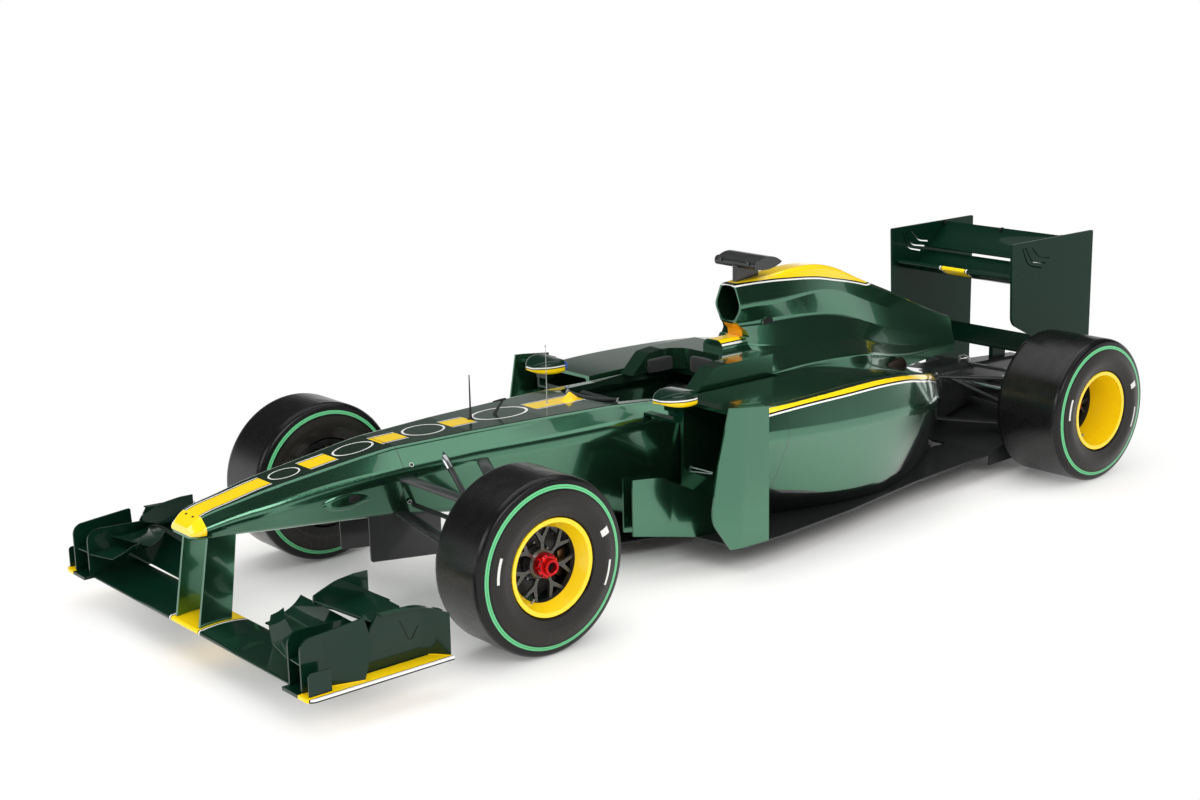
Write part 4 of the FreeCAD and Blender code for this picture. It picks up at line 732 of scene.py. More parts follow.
def crowned_pad(form, reach, centre):
    """Soft pad: a box rounded into a crowned cushion with a sewn seam round its middle."""
    bmesh.ops.create_cube(form, size=2.0)
    bmesh.ops.subdivide_edges(form, edges=form.edges[:], cuts=15, use_grid_fill=True)
    thin = min(range(3), key=lambda axis: reach[axis])
    wide = [axis for axis in range(3) if axis != thin]
    for vert in form.verts:
        place = vert.co.copy()
        # Crown: each face swells in its middle and pulls in toward the corners
        for axis in wide:
            vert.co[axis] *= 1 - 0.07 * sum(abs(place[other]) ** 3 for other in range(3) if other != axis)
        vert.co[thin] *= 1 - 0.30 * max(abs(place[axis]) for axis in wide) ** 4
    bmesh.ops.smooth_vert(form, verts=form.verts[:], factor=0.5, use_axis_x=True, use_axis_y=True, use_axis_z=True)
    for vert in form.verts:
        if abs(vert.co[thin]) < 0.05 and max(abs(vert.co[axis]) for axis in wide) > 0.85:
            for axis in wide:
                vert.co[axis] *= 0.965
    place = Matrix.Translation(centre) @ Matrix.Diagonal((*reach, 1.0))
    bmesh.ops.transform(form, matrix=place, verts=form.verts[:])


def valve(form, centre, out, radius, along):
    """Tyre valve, standing off the dish toward the axle."""
    down = Vector((0.5, 0.0, -0.866))
    foot = centre + out * along + down * (radius + 0.006)
    tip = foot - down * 0.030 + out * 0.008
    tube(form, (foot, foot.lerp(tip, 0.5), tip), (0.0042, 0.0036, 0.0034))
    tube(form, (foot.lerp(tip, 0.62), tip + (tip - foot) * 0.08), (0.0046, 0.0044))


def marker_wedge(form):
    """Low four-sided marker ahead of the cockpit."""
    wedge = bmesh.ops.create_cone(form, cap_ends=True, segments=4, radius1=0.036, radius2=0.004, depth=0.032)["verts"]
    bmesh.ops.scale(form, verts=wedge, vec=(1.35, 0.75, 1.0))
    bmesh.ops.translate(form, verts=wedge, vec=(0.600, 0.004, 0.664))
    bevelled(form, form.edges[:], 0.002)


def low_screen(form):
    """Leaning sheet round the front of the cockpit opening."""
    foot = [form.verts.new(point) for point in SCREEN_LINE]
    top = pulled(form, [form.edges.new(ends) for ends in zip(foot, foot[1:])])[1]
    bmesh.ops.translate(form, verts=top, vec=(-0.010, 0.0, 0.015))
    bmesh.ops.solidify(form, geom=form.faces[:], thickness=0.0022)


def grip(form, sign):
    """Grip of the steering wheel, on one side."""
    tube(form, GRIP_LINE, (0.012, 0.016, 0.0165, 0.0155, 0.013), 16)
    bmesh.ops.scale(form, vec=(1, sign, 1), verts=form.verts[:])


def placed(form, matrix):
    """Moves the whole form to its place."""
    bmesh.ops.transform(form, matrix=matrix, verts=form.verts[:])


def fit(name, material, *shapes, body="chassis", slot="carbon"):
    """Makes a piece of shapes, each a function and its values, already in place, that rides on a body."""
    form = bmesh.new()
    for shape, *values in shapes:
        shape(form, *values)
    bmesh.ops.recalc_face_normals(form, faces=form.faces)
    mesh = bpy.data.meshes.new(name)
    form.to_mesh(mesh)
    form.free()
    for face in mesh.polygons:
        face.use_smooth = True
    mesh.set_sharp_from_angle(angle=math.radians(35))
    mesh.materials.append(material)
    piece = bpy.data.objects.new(name, mesh)
    bpy.context.scene.collection.objects.link(piece)
    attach(piece, body)
    return piece


# Outlines and places of the fittings on the left side, in metres

NUT_SLEEVE = (
    (0.100, 0.0195), (0.100, 0.031), (0.118, 0.029), (0.1285, 0.028), (0.1305, 0.0265), (0.1305, 0.0215),
    (0.129, 0.0195),
)
REAR_NUT = ((-0.020, 0.018), (-0.020, 0.046), (0.012, 0.045), (0.030, 0.032), (0.042, 0.030), (0.042, 0.018))
BUCKLE = (
    (-0.006, 1e-5), (-0.006, 0.030), (0.004, 0.031), (0.008, 0.027), (0.009, 0.012), (0.012, 0.011), (0.012, 1e-5),
)
SLEEVE = ((-0.045, 0.0115), (-0.045, 0.0155), (-0.02, 0.0165), (0.006, 0.0165), (0.014, 0.013), (0.014, 0.0115))
PIPE_END = ((-0.055, 0.029), (-0.055, 0.033), (0.040, 0.033), (0.043, 0.032), (0.043, 0.029))
LENS_CAP = ((-0.002, 1e-5), (-0.002, 0.010), (0.003, 0.010), (0.003, 0.008), (0.001, 0.006), (0.001, 1e-5))
SHOULDER_LINE = (
    (-0.135, 0.085, 0.566), (-0.100, 0.083, 0.524), (-0.050, 0.075, 0.429), (0.0, 0.062, 0.334), (0.060, 0.030, 0.224),
)
LAP_LINE = ((0.110, 0.180, 0.200), (0.100, 0.120, 0.182), (0.088, 0.030, 0.184))
BELT_WIDTH, BELT_THICKNESS = 0.044, 0.0018
TETHER_LINE = ((2.010, 0.8225, 0.281), (1.978, 0.8225, 0.208), (1.966, 0.8225, 0.205), (1.937, 0.8225, 0.247))
INLET_ROD = ((0.222, 0.322, 0.352), (0.205, 0.360, 0.347), (0.186, 0.412, 0.340))
LOOP_LINE = (
    (-1.86, 0.020, 0.420), (-1.86, 0.022, 0.444), (-1.86, 0.050, 0.452), (-1.86, 0.080, 0.444), (-1.86, 0.082, 0.420),
)
GRIP_LINE = (
    (0.066, 0.106, 0.004), (0.045, 0.126, 0.004), (0.0, 0.131, 0.004), (-0.045, 0.122, 0.004), (-0.070, 0.096, 0.004),
)
SCREEN_LINE = (
    (0.478, 0.160, 0.645), (0.520, 0.125, 0.647), (0.545, 0.080, 0.6485), (0.556, 0.030, 0.649),
    (0.556, -0.030, 0.649), (0.545, -0.080, 0.6485), (0.520, -0.125, 0.647), (0.478, -0.160, 0.645),
)
MIRROR_EDGE = (
    (0.322, 0.680), (0.324, 0.706), (0.366, 0.718), (0.468, 0.719), (0.486, 0.708), (0.486, 0.680), (0.468, 0.667),
    (0.366, 0.665),
)
WHEEL_CENTRE = (0.43, 0.0, 0.56)
COLUMN_SLOPE = math.radians(10)
BUTTONS = (("red", "#c2161c"), ("green", "#1c9a4a"), ("blue", "#1d55b8"), ("white", "#e6e6e2"))

# Fasteners: a place and the way it faces; sizes are radius (a setting for the ringed ones), height, steps and rim
RINGED_SCREWS = (((1.496, 0.1695, 0.584), (0.09, 0.85, 0.51)), ((1.4985, 0.149, 0.436), (0.07, 0.94, -0.33)))
TIP_SCREWS = (((2.327, 0.024, 0.5305), (0.46, 0, 0.89)),)
NOSE_SCREWS = (
    ((1.545, 0.105, 0.6465), (0.05, 0.5, 0.87)), ((1.560, 0.168, 0.560), (0.08, 0.99, 0.1)),
    ((1.560, 0.155, 0.470), (0.07, 0.94, -0.33)),
)
ENDPLATE_SCREWS = tuple(((x, 0.375, z), (0, 1, 0)) for x, z in (
    (-1.83, 0.872), (-1.97, 0.878), (-2.12, 0.455), (-2.22, 0.470),
))
POD_SCREWS = (((0.020, 0.600, 0.595), (0.0, 0.7, 0.7)), ((-1.050, 0.560, 0.470), (-0.2, 0.97, 0.0)))
WING_SCREWS = (((2.22, 0.775, 0.1553), UP), ((2.30, 0.775, 0.1553), UP))
RINGED_SIZE = (0.0012, 20, 0.002)
TIP_SIZE = (0.0045, 0.001, 16, 0.0015)
NOSE_SIZE = (0.0038, 0.0008, 12)
PLATE_SIZE = (0.0045, 0.001, 14, 0.0014)
SCREW_SIZE = (0.0045, 0.0012, 14, 0.0014)

# Rings of bolts: lean, radius of the ring, place along the axle, count, then radius, height and steps of each
NUT_SOCKETS = ((0.83, 0.55), 0.0405, 0.1072, 14, 0.0036, 0.0006, 12)
HUB_BOLTS = ((1, 0), 0.068, 0.0215, 12, 0.0042, 0.007, 6)
DISC_BOLTS = ((1, 0), 0.118, 0.029, 24, 0.0022, 0.0016, 8)

# Inner and outer radius and both ends along the axle, then where the caliper starts and how far it goes round
CALIPER = (0.088, 0.124, 0.0285, 0.050)
CALIPER_START, CALIPER_SWEEP = math.radians(38), math.radians(52)

# Radius and place along the axle of each valve
FRONT_VALVE = (0.152, 0.092)
REAR_VALVE = (0.150, 0.118)

ANTENNA_FOOT = Vector((1.096, 0.0, 0.652))
WHIP_FOOT = Vector((0.714, 0.0, 0.648))
WHIP_HEIGHT = 0.24
PROBE_STRUT = ((0.985, 0.0, 0.648), (0.956, 0.0, 0.682), (0.934, 0.0, 0.704))
PROBE_TUBE = ((0.922, 0.0, 0.707), (0.945, 0.0, 0.707), (0.984, 0.0, 0.706))

# Half the width of a tread, and the throat and depth of the dish, for each end
WHEEL_SIZES = (("front", 0.111, 0.1385, 0.055), ("rear", 0.150, 0.1415, -0.022))

# Soft boxes: place, target, width and height in metres, power in watts
SOFTBOXES = {
    "key_softbox": ((2.2, 6.0, 4.4), (0.2, 0.0, 0.4), (5.0, 2.4), 150.0),
    "front_softbox": ((7.0, -0.5, 3.4), (1.5, 0.0, 0.4), (3.6, 2.4), 85.0),
    "flank_softbox": ((-2.2, 4.2, 5.2), (0.3, 0.1, 0.6), (4.4, 2.2), 42.0),
    "top_softbox": ((-0.5, -1.0, 6.5), (-0.3, 0.0, 0.0), (9.0, 6.0), 200.0),
}
FLOOR_HALF = 60.0
# Distances from the car's middle where the floor begins to fade and where it is white, shares of the way up to the
# ceiling where the world begins to darken and where it is darkest, and the world's light on mirrors and matt surfaces
FLOOR_FADE = (0.75, 1.8)
CEILING_RISE = (0.03, 0.30)
CEILING_LEVEL = 0.04
MATT_LEVEL = 0.85

# The photograph's camera: place in metres, heading, pitch and roll in degrees, lens in millimetres
CAMERA_PLACE = (5.2357, 5.7364, 2.4719)
CAMERA_TURN = (-129.93, -13.93, -1.14)
CAMERA_LENS = 55.88


class CarOperator:
    """Shared options of the car's operators."""

    bl_options = {"REGISTER", "UNDO"}


class CAR_OT_paint(CarOperator, bpy.types.Operator):
    """Paints the bodywork and gives every carried-over node its finish."""

    bl_idname = "car.paint"
    bl_label = "Paint the car"

    def execute(self, context):
        dress(["nose_cone", "monocoque"], coated_paint("coated_green_nose_stripe", nose_marks))
        dress(["engine_cover"], coated_paint("coated_green_cover_stripe", cover_marks))
        dress(pair("sidepod"), coated_paint("coated_green_pod_stripe", pod_marks))
        dress(["head_surround"], coated_paint("coated_green_headrest", headrest_marks))
        dress(pair("bargeboards"), coated_paint("coated_green"))
        dress(["front_wing_main"], coated_paint("coated_green_wing_stripe", wing_marks, True))
        dress(["rear_wing"], coated_paint("coated_green_rear_wing_stripe", rear_wing_marks, True, 0.3))
        dress(pair("front_wing_endplate"), coated_paint("coated_green_foot", foot_marks, True))
        dress(pair("mirror"), coated_paint("coated_green_mirror", mirror_marks, True))
        dress(pair("front_wing_flaps"), coated_paint("coated_green_wings", None, True))
        dress(pair("rear_wing_endplate") + ["beam_wing"], coated_paint("coated_green_rear_plates", None, True, 0.1))
        laminate = carbon_fibre("carbon_twill")
        dress(["camera_pod", "under_nose_vanes", "seat", "steering_wheel", "gearbox_case"], laminate)
        dress(pair("front_suspension") + pair("rear_suspension") + ["steering_rack"], laminate)
        dress(pair("front_upright"), carbon_fibre("brake_duct_carbon", coat=0.2))
        dress(["floor"], carbon_fibre("floor_carbon_laminate", coat=0.2))
        dress(["plank"], plain_finish("resin_laminate_plank", ("#6b4a2c", "#4d3520"), 0.55))
        dress(["engine_block"], plain_metal("cast_alloy", "#55565a", 0.45))
        dress(pair("driveshaft"), plain_metal("ground_steel", "#a0a2a5", 0.22))
        dress(pair("wheel_nut_front"), anodised_red())
        dress(["rain_light"], plain_finish("lamp_red_lens", ("#a01216", "#8c0d12"), 0.15, coat=1.0))
        return {"FINISHED"}


class CAR_OT_wheels(CarOperator, bpy.types.Operator):
    """Finishes the tyres and rims."""

    bl_idname = "car.wheels"
    bl_label = "Finish the wheels"

    def execute(self, context):
        for side, sign in SIDES:
            for end, tread_half, throat, depth in WHEEL_SIZES:
                centre, name = hub(end, sign), f"{end}_{side}"
                dress(["tyre_" + name], tyre_rubber("slick_rubber_" + name, centre, tread_half))
                dress(["rim_" + name], wheel_enamel("wheel_enamel_" + name, centre, sign, throat, depth))
        return {"FINISHED"}


class CAR_OT_wheel_fittings(CarOperator, bpy.types.Operator):
    """Adds the nut sleeves and sockets, the brakes behind the spokes, the valves and the rear nuts."""

    bl_idname = "car.wheel_fittings"
    bl_label = "Fit the wheels"

    def execute(self, context):
        disc = context.scene.car_fittings.disc_radius
        cover = (
            (0.0202, 0.070), (0.0202, disc - 0.010), (0.027, disc - 0.010), (0.029, disc - 0.014), (0.029, 0.078),
            (0.027, 0.070),
        )
        red = anodised_red()
        alloy = plain_metal("machined_alloy", "#9a9b9e", 0.3)
        bronze = plain_metal("caliper_hard_anodised_alloy", "#8c6a4e", 0.35)
        dark = plain_finish("black_oxide_and_shade", ("#0d0d0e", "#161617"), 0.5, 0.003)
        disc_face = plain_finish("carbon_brake_disc", ("#1c1b1a", "#262422"), 0.45, 0.002)
        for side, sign in SIDES:
            out = Vector((0, sign, 0))
            front, rear = hub("front", sign), hub("rear", sign)
            front_wheel, rear_wheel, knuckle = "wheel_front_" + side, "wheel_rear_" + side, "knuckle_" + side
            # Sleeve of the nut, which the wheel gun's socket drives, with its cap and drive sockets; the cap is dark
            # metal that also stands in for the shade in the nut's open middle, and the sockets are raised dark discs
            # painted as the shade in their holes
            fit("nut_sleeve_" + side, red, (turned, NUT_SLEEVE, front, out, 48), body=front_wheel, slot="nut_red")
            cap = (stud, front + out * 0.1078, out, 0.0188, 0.0035, 32, 0.003)
            fit("spindle_cap_" + side, dark, cap, body=front_wheel, slot="steel")
            sockets = (bolt_ring, front, out, *NUT_SOCKETS)
            fit("nut_socket_shades_" + side, dark, sockets, body=front_wheel, slot="steel")
            fit("valve_front_" + side, alloy, (valve, front, out, *FRONT_VALVE), body=front_wheel, slot="metal")
            fit("valve_rear_" + side, alloy, (valve, rear, out, *REAR_VALVE), body=rear_wheel, slot="metal")
            # Brake inside the front wheel
            fit("brake_cover_" + side, disc_face, (turned, cover, front, out, 64), body=knuckle)
            bolts = [(bolt_ring, front, out, *ring) for ring in (HUB_BOLTS, DISC_BOLTS)]
            fit("brake_bolts_" + side, alloy, *bolts, body=knuckle, slot="metal")
            caliper = (arc_block, *CALIPER, front, out, -sign * CALIPER_START, CALIPER_SWEEP)
            fit("caliper_" + side, bronze, caliper, body=knuckle, slot="metal")
            # Rear wheel's nut, a ring with a dark middle
            fit("nut_rear_" + side, red, (turned, REAR_NUT, rear, out, 40), body=rear_wheel, slot="nut_red")
        return {"FINISHED"}


class CAR_OT_nose_fittings(CarOperator, bpy.types.Operator):
    """Adds the antennas, the air speed probe, fasteners, the blisters on the nose and the cockpit marker."""

    bl_idname = "car.nose_fittings"
    bl_label = "Fit the nose"

    def execute(self, context):
        self.masts(context.scene.car_fittings.antenna_height)
        self.fasteners(context.scene.car_fittings.fastener_radius)
        # Blister over the camera mount on each side of the nose; its opening is a dark teardrop painted as the shade
        # inside it
        green = coated_paint("coated_green_blister")
        opening_shade = plain_finish("blister_shadow_black", ("#050606", "#0a0b0b"), 0.6, 0.004)
        for side, sign in SIDES:
            blister = (teardrop, (1.752, sign * 0.139, 0.497), (0.118, 0.017, 0.038), 40)
            fit("nose_blister_" + side, green, blister, slot="paint_green")
            opening = (teardrop, (1.742, sign * 0.1495, 0.499), (0.040, 0.0085, 0.018), 32)
            fit("blister_opening_shade_" + side, opening_shade, opening)
        enamel = plain_finish("yellow_enamel_marker", ("#ffd21f", "#f7c814"), 0.3)
        fit("filler_marker", enamel, (marker_wedge,), slot="mirror_paint")
        return {"FINISHED"}

    def masts(self, height):
        """Front antenna, whip antenna, and the air speed probe: a leaning strut with its tube facing forward."""
        black = plain_finish("moulded_black_nylon", ("#101112", "#18191a"), 0.4, 0.002)
        mast = [ANTENNA_FOOT + UP * rise for rise in (0.0, 0.02, 0.05, height + 0.011)]
        foot = (stud, ANTENNA_FOOT, UP, 0.013, 0.007, 24)
        fit("antenna", black, foot, (tube, mast, (0.0075, 0.0055, 0.0036, 0.0022)))
        top = WHIP_FOOT + UP * WHIP_HEIGHT
        fit(
            "whip_antenna", plain_finish("grey_nylon", ("#9b9d9c", "#a9abaa"), 0.35, 0.002),
            (stud, WHIP_FOOT, UP, 0.008, 0.005, 20), (tube, (WHIP_FOOT, top), (0.0019, 0.0012), 8),
            (turned, bead_profile(0.0036), top, UP, 16), slot="steel",
        )
        fit(
            "air_speed_probe", black,
            (tube, PROBE_STRUT, (0.0075, 0.005, 0.0045)), (tube, PROBE_TUBE, (0.0042, 0.0048, 0.0026)),
            (stud, (0.983, 0.0, 0.650), UP, 0.014, 0.004, 24),
        )

    def fasteners(self, radius):
        """Ringed fasteners of the nose and the bulkhead, and small screws."""
        head = plain_finish("countersunk_screw_dark", ("#0b0c0c", "#131414"), 0.35, 0.002)
        white = plain_finish("white_enamel_ring", ("#d9dbd6", "#e6e8e3"), 0.3)
        outline = ring_profile(radius + 0.0005, 0.0022, 0.0008)
        heads, rings = [], []
        for side, sign in SIDES:
            ringed = on_side(RINGED_SCREWS, sign)
            heads += [(studs, ringed, radius, *RINGED_SIZE), (studs, on_side(TIP_SCREWS, sign), *TIP_SIZE)]
            rings += [(turned, outline, place, facing, 28) for place, facing in ringed]
        for screw in NOSE_SCREWS:
            heads += [(studs, on_side((screw,), sign), *NOSE_SIZE) for side, sign in SIDES]
        fit("body_fasteners", head, *heads, slot="steel")
        fit("fastener_rings", white, *rings, slot="steel")


class CAR_OT_cockpit(CarOperator, bpy.types.Operator):
    """Adds the pads, harness, wheel grips and controls, and the windscreen."""

    bl_idname = "car.cockpit"
    bl_label = "Fit the cockpit"

    def execute(self, context):
        cover = stitched_leather("black_foam_cover")
        for side, sign in SIDES:
            pad = fit("side_pad_" + side, cover, (crowned_pad, (0.075, 0.010, 0.030), (-0.045, sign * 0.158, 0.666)))
        pad = fit("head_pad", cover, (crowned_pad, (0.012, 0.070, 0.036), (-0.144, 0.0, 0.668)))
        self.belts()
        self.steering()
        fit("windscreen", tinted_screen(), (low_screen,))
        return {"FINISHED"}

    def belts(self):
        """Harness straps on the seat, with their buckle."""
        webbing = woven_belt("woven_webbing_black")
        for side, sign in SIDES:
            for name, line in (("shoulder_belt_", SHOULDER_LINE), ("lap_belt_", LAP_LINE)):
                points = [flip(point, sign) for point in line]
                fit(name + side, webbing, (strap, points, BELT_WIDTH, BELT_THICKNESS))
        buckle = (turned, BUCKLE, (0.078, 0.0, 0.206), (0.75, 0, 0.66), 32)
        fit("belt_buckle", plain_metal("belt_alloy", "#b9bbbe", 0.3), buckle, slot="metal")

    def steering(self):
        """Grips, display, buttons and shift lamps of the steering wheel."""
        axis = Vector((-math.cos(COLUMN_SLOPE), 0.0, math.sin(COLUMN_SLOPE)))
        wheel = Matrix.Translation(WHEEL_CENTRE) @ axis.to_track_quat("Z", "X").to_matrix().to_4x4()
        face = 0.016
        suede = stitched_leather("grip_suede")
        for side, sign in SIDES:
            piece = fit("grip_" + side, suede, (grip, sign), (placed, wheel), body="helm")
        glass = plain_finish("display_glass", ("#0a1416", "#0e1a1c"), 0.08, coat=1.0)
        box = (lined_box, (-0.006, -0.036, face - 0.004), (0.038, 0.036, face + 0.004), 0.002)
        fit("wheel_display", glass, box, (placed, wheel), body="helm")
        for index, (name, code) in enumerate(BUTTONS):
            rows = [
                (wheel @ Vector((0.030 - 0.026 * index, sign * along, face - 0.002)), axis)
                for sign in (1, -1) for along in (0.052, 0.072)
            ]
            enamel = plain_finish("button_" + name, (code, code), 0.3)
            fit("wheel_buttons_" + name, enamel, (studs, rows, 0.0058, 0.006, 16, 0.0016), body="helm")
        lamps = [(wheel @ Vector((0.047, (step - 4) * 0.0075, face - 0.001)), axis) for step in range(9)]
        lens = plain_finish("lamp_clear_lens", ("#b8d7e8", "#c6e0ee"), 0.1, coat=1.0)
        fit("shift_lamps", lens, (studs, lamps, 0.0022, 0.003, 10), body="helm")


class CAR_OT_trim(CarOperator, bpy.types.Operator):
    """Adds mirror glasses, vents, exhausts, wing tabs, brackets and small screws over the body."""

    bl_idname = "car.trim"
    bl_label = "Fit the trim"

    def execute(self, context):
        steel = plain_metal("bright_steel_trim", "#b9bbbe", 0.25)
        shadow = plain_finish("shadow_black", ("#050606", "#090a0a"), 0.7, 0.004)
        black = plain_finish("moulded_black_trim", ("#101112", "#18191a"), 0.4, 0.002)
        heated = plain_metal("heat_tinted_steel", "#4a4038", 0.36)
        lip = coated_paint("coated_green_lip")
        glass = mirror_glass()
        for side, sign in SIDES:
            edge = [(0.3445, sign * y, z) for y, z in MIRROR_EDGE]
            fit("mirror_glass_" + side, glass, (plate, edge, 0.003 * -sign, 0.001), slot="metal")
            # Oval opening in the side of the engine cover, with a raised lip; a dark plug in it is painted as the shade
            # inside
            vent = (-0.467, sign * 0.0795, 0.829), (0.03, sign * 0.99, 0.10), 1.65
            fit("vent_lip_" + side, lip, (stretched, ring_profile(0.0185, 0.003, 0.0016), *vent), slot="paint_green")
            fit("vent_shade_plug_" + side, shadow, (stretched, plug_profile(-0.004, 0.0008, 0.0185), *vent))
            # Exhaust outlet in the valley between the cover and the sidepod; a dark plug in the pipe is painted as the
            # shade inside
            outlet = (-1.235, sign * 0.150, 0.512), (-0.95, sign * 0.10, 0.16)
            fit("exhaust_pipe_" + side, heated, (turned, PIPE_END, *outlet, 40), slot="steel")
            fit("exhaust_shade_plug_" + side, shadow, (turned, plug_profile(-0.05, 0.0, 0.0292), *outlet, 32))
            screws = (studs, on_side(ENDPLATE_SCREWS, sign), *PLATE_SIZE)
            fit("endplate_screws_" + side, black, screws, slot="steel")
            fit("pod_screws_" + side, steel, (studs, on_side(POD_SCREWS, sign), *SCREW_SIZE), slot="steel")
            # Bright pushrod fitting at the hull
            sleeve = (turned, SLEEVE, (1.352, sign * 0.182, 0.578), (-0.022, sign * -0.42, 0.378), 24)
            fit("pushrod_sleeve_" + side, steel, sleeve, slot="metal")
            rod = [flip(point, sign) for point in INLET_ROD]
            foot = (stud, rod[0], (0.2, sign * -0.9, 0.1), 0.007, 0.004, 16)
            fit("inlet_rod_" + side, steel, (tube, rod, 0.0035, 10), foot, slot="metal")
        fit("flap_tabs", black, *(
            (lined_box, (-2.199, y - 0.0035, 1.020), (-2.172, y + 0.0035, 1.0395), 0.0012) for y in (-0.352, 0.0, 0.352)
        ))
        ribs = (
            (lined_box, (-2.3545, -0.030, low), (-2.351, 0.030, low + 0.0055), 0.0012)
            for low in (0.319 + row * 0.0082 for row in range(6))
        )
        lamp = plain_finish("lamp_red_rib", ("#b31218", "#9c0f14"), 0.15, coat=1.0)
        fit("rain_light_ribs", lamp, *ribs, slot="lamp_red")
        white = plain_metal("white_coated_steel", "#d8d8d4", 0.3)
        fit("lifting_loop", white, (tube, LOOP_LINE, 0.006), slot="steel")
        lens = plain_finish("lens_glass", ("#06080a", "#0a0d10"), 0.05, coat=1.0)
        fit("camera_lenses", lens, *(
            (turned, LENS_CAP, (-0.338, sign * 0.085, 1.101), (1, 0, 0), 24) for side, sign in SIDES
        ))
        return {"FINISHED"}


class CAR_OT_front_wing(CarOperator, bpy.types.Operator):
    """Adds the tether line and screws of the front wing."""

    bl_idname = "car.front_wing"
    bl_label = "Fit the front wing"

    def execute(self, context):
        dark = plain_finish("tether_black", ("#0b0c0c", "#121313"), 0.45, 0.002)
        steel = plain_metal("bright_steel_wing", "#b9bbbe", 0.25)
        for side, sign in SIDES:
            fit("plate_tether_" + side, dark, (tube, [flip(point, sign) for point in TETHER_LINE], 0.0016, 8))
            fit("wing_screws_" + side, steel, (studs, on_side(WING_SCREWS, sign), *SCREW_SIZE), slot="steel")
        return {"FINISHED"}


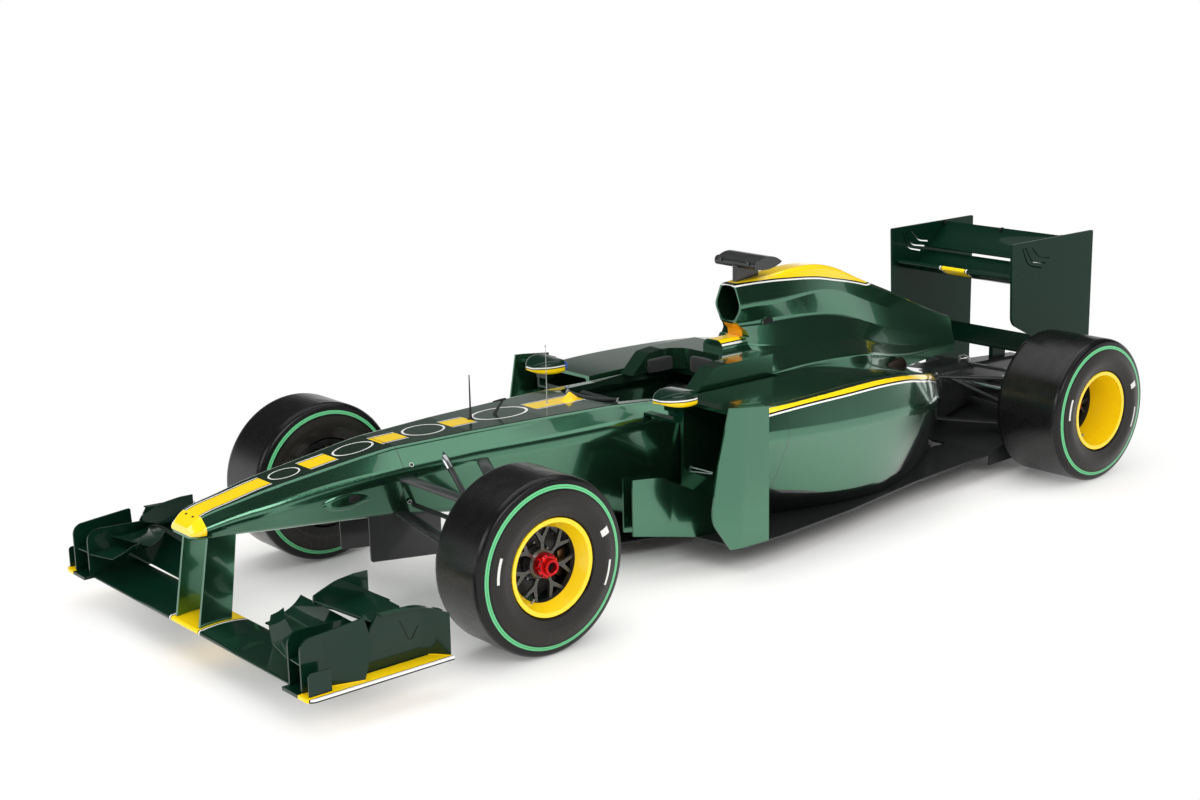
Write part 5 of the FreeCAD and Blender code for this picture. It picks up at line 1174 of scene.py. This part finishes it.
class CAR_OT_stage(CarOperator, bpy.types.Operator):
    """Sets up the pale floor, the studio light and the camera."""

    bl_idname = "car.stage"
    bl_label = "Set the stage"

    def execute(self, context):
        scene = context.scene
        form = bmesh.new()
        bmesh.ops.create_grid(form, x_segments=1, y_segments=1, size=FLOOR_HALF)
        mesh = bpy.data.meshes.new("studio_floor")
        form.to_mesh(mesh)
        form.free()
        mesh.materials.append(self.pale_floor())
        floor = bpy.data.objects.new("studio_floor", mesh)
        scene.collection.objects.link(floor)
        self.light_world(scene)
        for name, (place, target, size, power) in SOFTBOXES.items():
            self.hang_lamp(name, place, target, size, power)
        self.set_camera(scene)
        return {"FINISHED"}

    def pale_floor(self):
        """White painted floor, matt, that keeps the car's shadow and runs into the white background."""
        material, tree = new_material("pale_studio_floor")
        place = object_axes(tree)[0]
        # Longer than wide, as the car is
        oval = node(
            tree, "ShaderNodeVectorMath", {"operation": "MULTIPLY"}, {0: place, 1: (0.45, 1.0, 0.0)}
        ).outputs[0]
        reach = node(tree, "ShaderNodeVectorMath", {"operation": "LENGTH"}, {0: oval}).outputs["Value"]
        far = node(
            tree, "ShaderNodeMapRange", {"interpolation_type": "SMOOTHSTEP"},
            {"Value": reach, "From Min": FLOOR_FADE[0], "From Max": FLOOR_FADE[1]},
        ).outputs[0]
        rays = node(tree, "ShaderNodeLightPath").outputs
        seen = any_of(tree, rays["Is Camera Ray"], rays["Is Glossy Ray"], rays["Is Transmission Ray"])
        paint = node(tree, "ShaderNodeBsdfPrincipled", {}, {
            "Base Color": linear("#f6f5f3"), "Roughness": 0.9, "Specular IOR Level": 0.1,
        })
        white = node(tree, "ShaderNodeEmission", {}, {"Color": (1.0, 1.0, 1.0, 1.0), "Strength": 1.0})
        mixed = node(tree, "ShaderNodeMixShader", {}, {
            0: all_of(tree, far, seen), 1: paint.outputs[0], 2: white.outputs[0],
        })
        node(tree, "ShaderNodeOutputMaterial", {}, {"Surface": mixed.outputs[0]})
        return material

    def light_world(self, scene):
        """White to the camera and to mirrors near the horizon, darker overhead, soft on matt surfaces."""
        world = bpy.data.worlds.new("white_studio")
        world.use_nodes = True
        tree = world.node_tree
        tree.nodes.clear()
        rays = node(tree, "ShaderNodeLightPath").outputs
        way = node(tree, "ShaderNodeTexCoord").outputs["Generated"]
        upward = node(tree, "ShaderNodeSeparateXYZ", {}, {0: way}).outputs[2]
        low, high = CEILING_RISE
        ceiling = node(
            tree, "ShaderNodeMapRange", {"interpolation_type": "SMOOTHSTEP"},
            {"Value": upward, "From Min": low, "From Max": high, "To Min": 1.0, "To Max": CEILING_LEVEL},
        ).outputs[0]
        seen = any_of(tree, rays["Is Camera Ray"], rays["Is Transmission Ray"])
        level = node(tree, "ShaderNodeMix", {"data_type": "FLOAT"}, {
            "Factor": rays["Is Glossy Ray"], 2: MATT_LEVEL, 3: ceiling,
        }).outputs[0]
        strength = node(tree, "ShaderNodeMix", {"data_type": "FLOAT"}, {"Factor": seen, 2: level, 3: 1.0}).outputs[0]
        light = node(tree, "ShaderNodeBackground", {}, {"Color": (1.0, 1.0, 1.0, 1.0), "Strength": strength})
        node(tree, "ShaderNodeOutputWorld", {}, {"Surface": light.outputs[0]})
        scene.world = world

    def hang_lamp(self, name, place, target, size, power):
        """Soft box at a place, turned to its target."""
        lamp = bpy.data.lights.new(name, "AREA")
        lamp.shape = "RECTANGLE"
        lamp.size, lamp.size_y = size
        lamp.energy = power
        holder = bpy.data.objects.new(name, lamp)
        aim = (Vector(target) - Vector(place)).to_track_quat("-Z", "Y").to_matrix().to_4x4()
        holder.matrix_world = Matrix.Translation(place) @ aim
        bpy.context.scene.collection.objects.link(holder)

    def set_camera(self, scene):
        """Camera at the photograph's viewing angle."""
        heading, pitch, roll = (math.radians(value) for value in CAMERA_TURN)
        ahead = Vector((math.cos(pitch) * math.cos(heading), math.cos(pitch) * math.sin(heading), math.sin(pitch)))
        level = ahead.cross(UP).normalized()
        upright = level.cross(ahead)
        right = math.cos(roll) * level + math.sin(roll) * upright
        top = -math.sin(roll) * level + math.cos(roll) * upright
        turn = Matrix((right, top, -ahead)).transposed().to_4x4()
        lens = bpy.data.cameras.new("studio_camera")
        lens.sensor_width = 36.0
        lens.lens = CAMERA_LENS
        lens.clip_end = 200.0
        camera = bpy.data.objects.new("studio_camera", lens)
        camera.matrix_world = Matrix.Translation(CAMERA_PLACE) @ turn
        scene.collection.objects.link(camera)
        scene.camera = camera
        scene.view_settings.view_transform = "Standard"


OPERATORS = (
    CAR_OT_stage, CAR_OT_paint, CAR_OT_wheels, CAR_OT_wheel_fittings, CAR_OT_nose_fittings, CAR_OT_cockpit,
    CAR_OT_trim, CAR_OT_front_wing,
)


class CAR_PT_panel(bpy.types.Panel):
    """Lists the steps that dress the car."""

    bl_idname = "CAR_PT_panel"
    bl_label = "Racing car"
    bl_space_type = "VIEW_3D"
    bl_region_type = "UI"
    bl_category = "Racing car"

    def draw(self, context):
        for settings in (context.scene.car_paint, context.scene.car_fittings):
            box = self.layout.box()
            for name in settings.bl_rna.properties.keys():
                if name not in ("rna_type", "name"):
                    box.prop(settings, name)
        for step in OPERATORS:
            self.layout.operator(step.bl_idname)


CLASSES = (PaintSettings, FittingSettings) + OPERATORS + (CAR_PT_panel,)


def register():
    for item in CLASSES:
        bpy.utils.register_class(item)
    bpy.types.Scene.car_paint = bpy.props.PointerProperty(type=PaintSettings)
    bpy.types.Scene.car_fittings = bpy.props.PointerProperty(type=FittingSettings)


def unregister():
    del bpy.types.Scene.car_fittings
    del bpy.types.Scene.car_paint
    for item in reversed(CLASSES):
        bpy.utils.unregister_class(item)


def main():
    register()
    for step in OPERATORS:
        group, name = step.bl_idname.split(".")
        getattr(getattr(bpy.ops, group), name)()


if __name__ == "__main__":
    main()
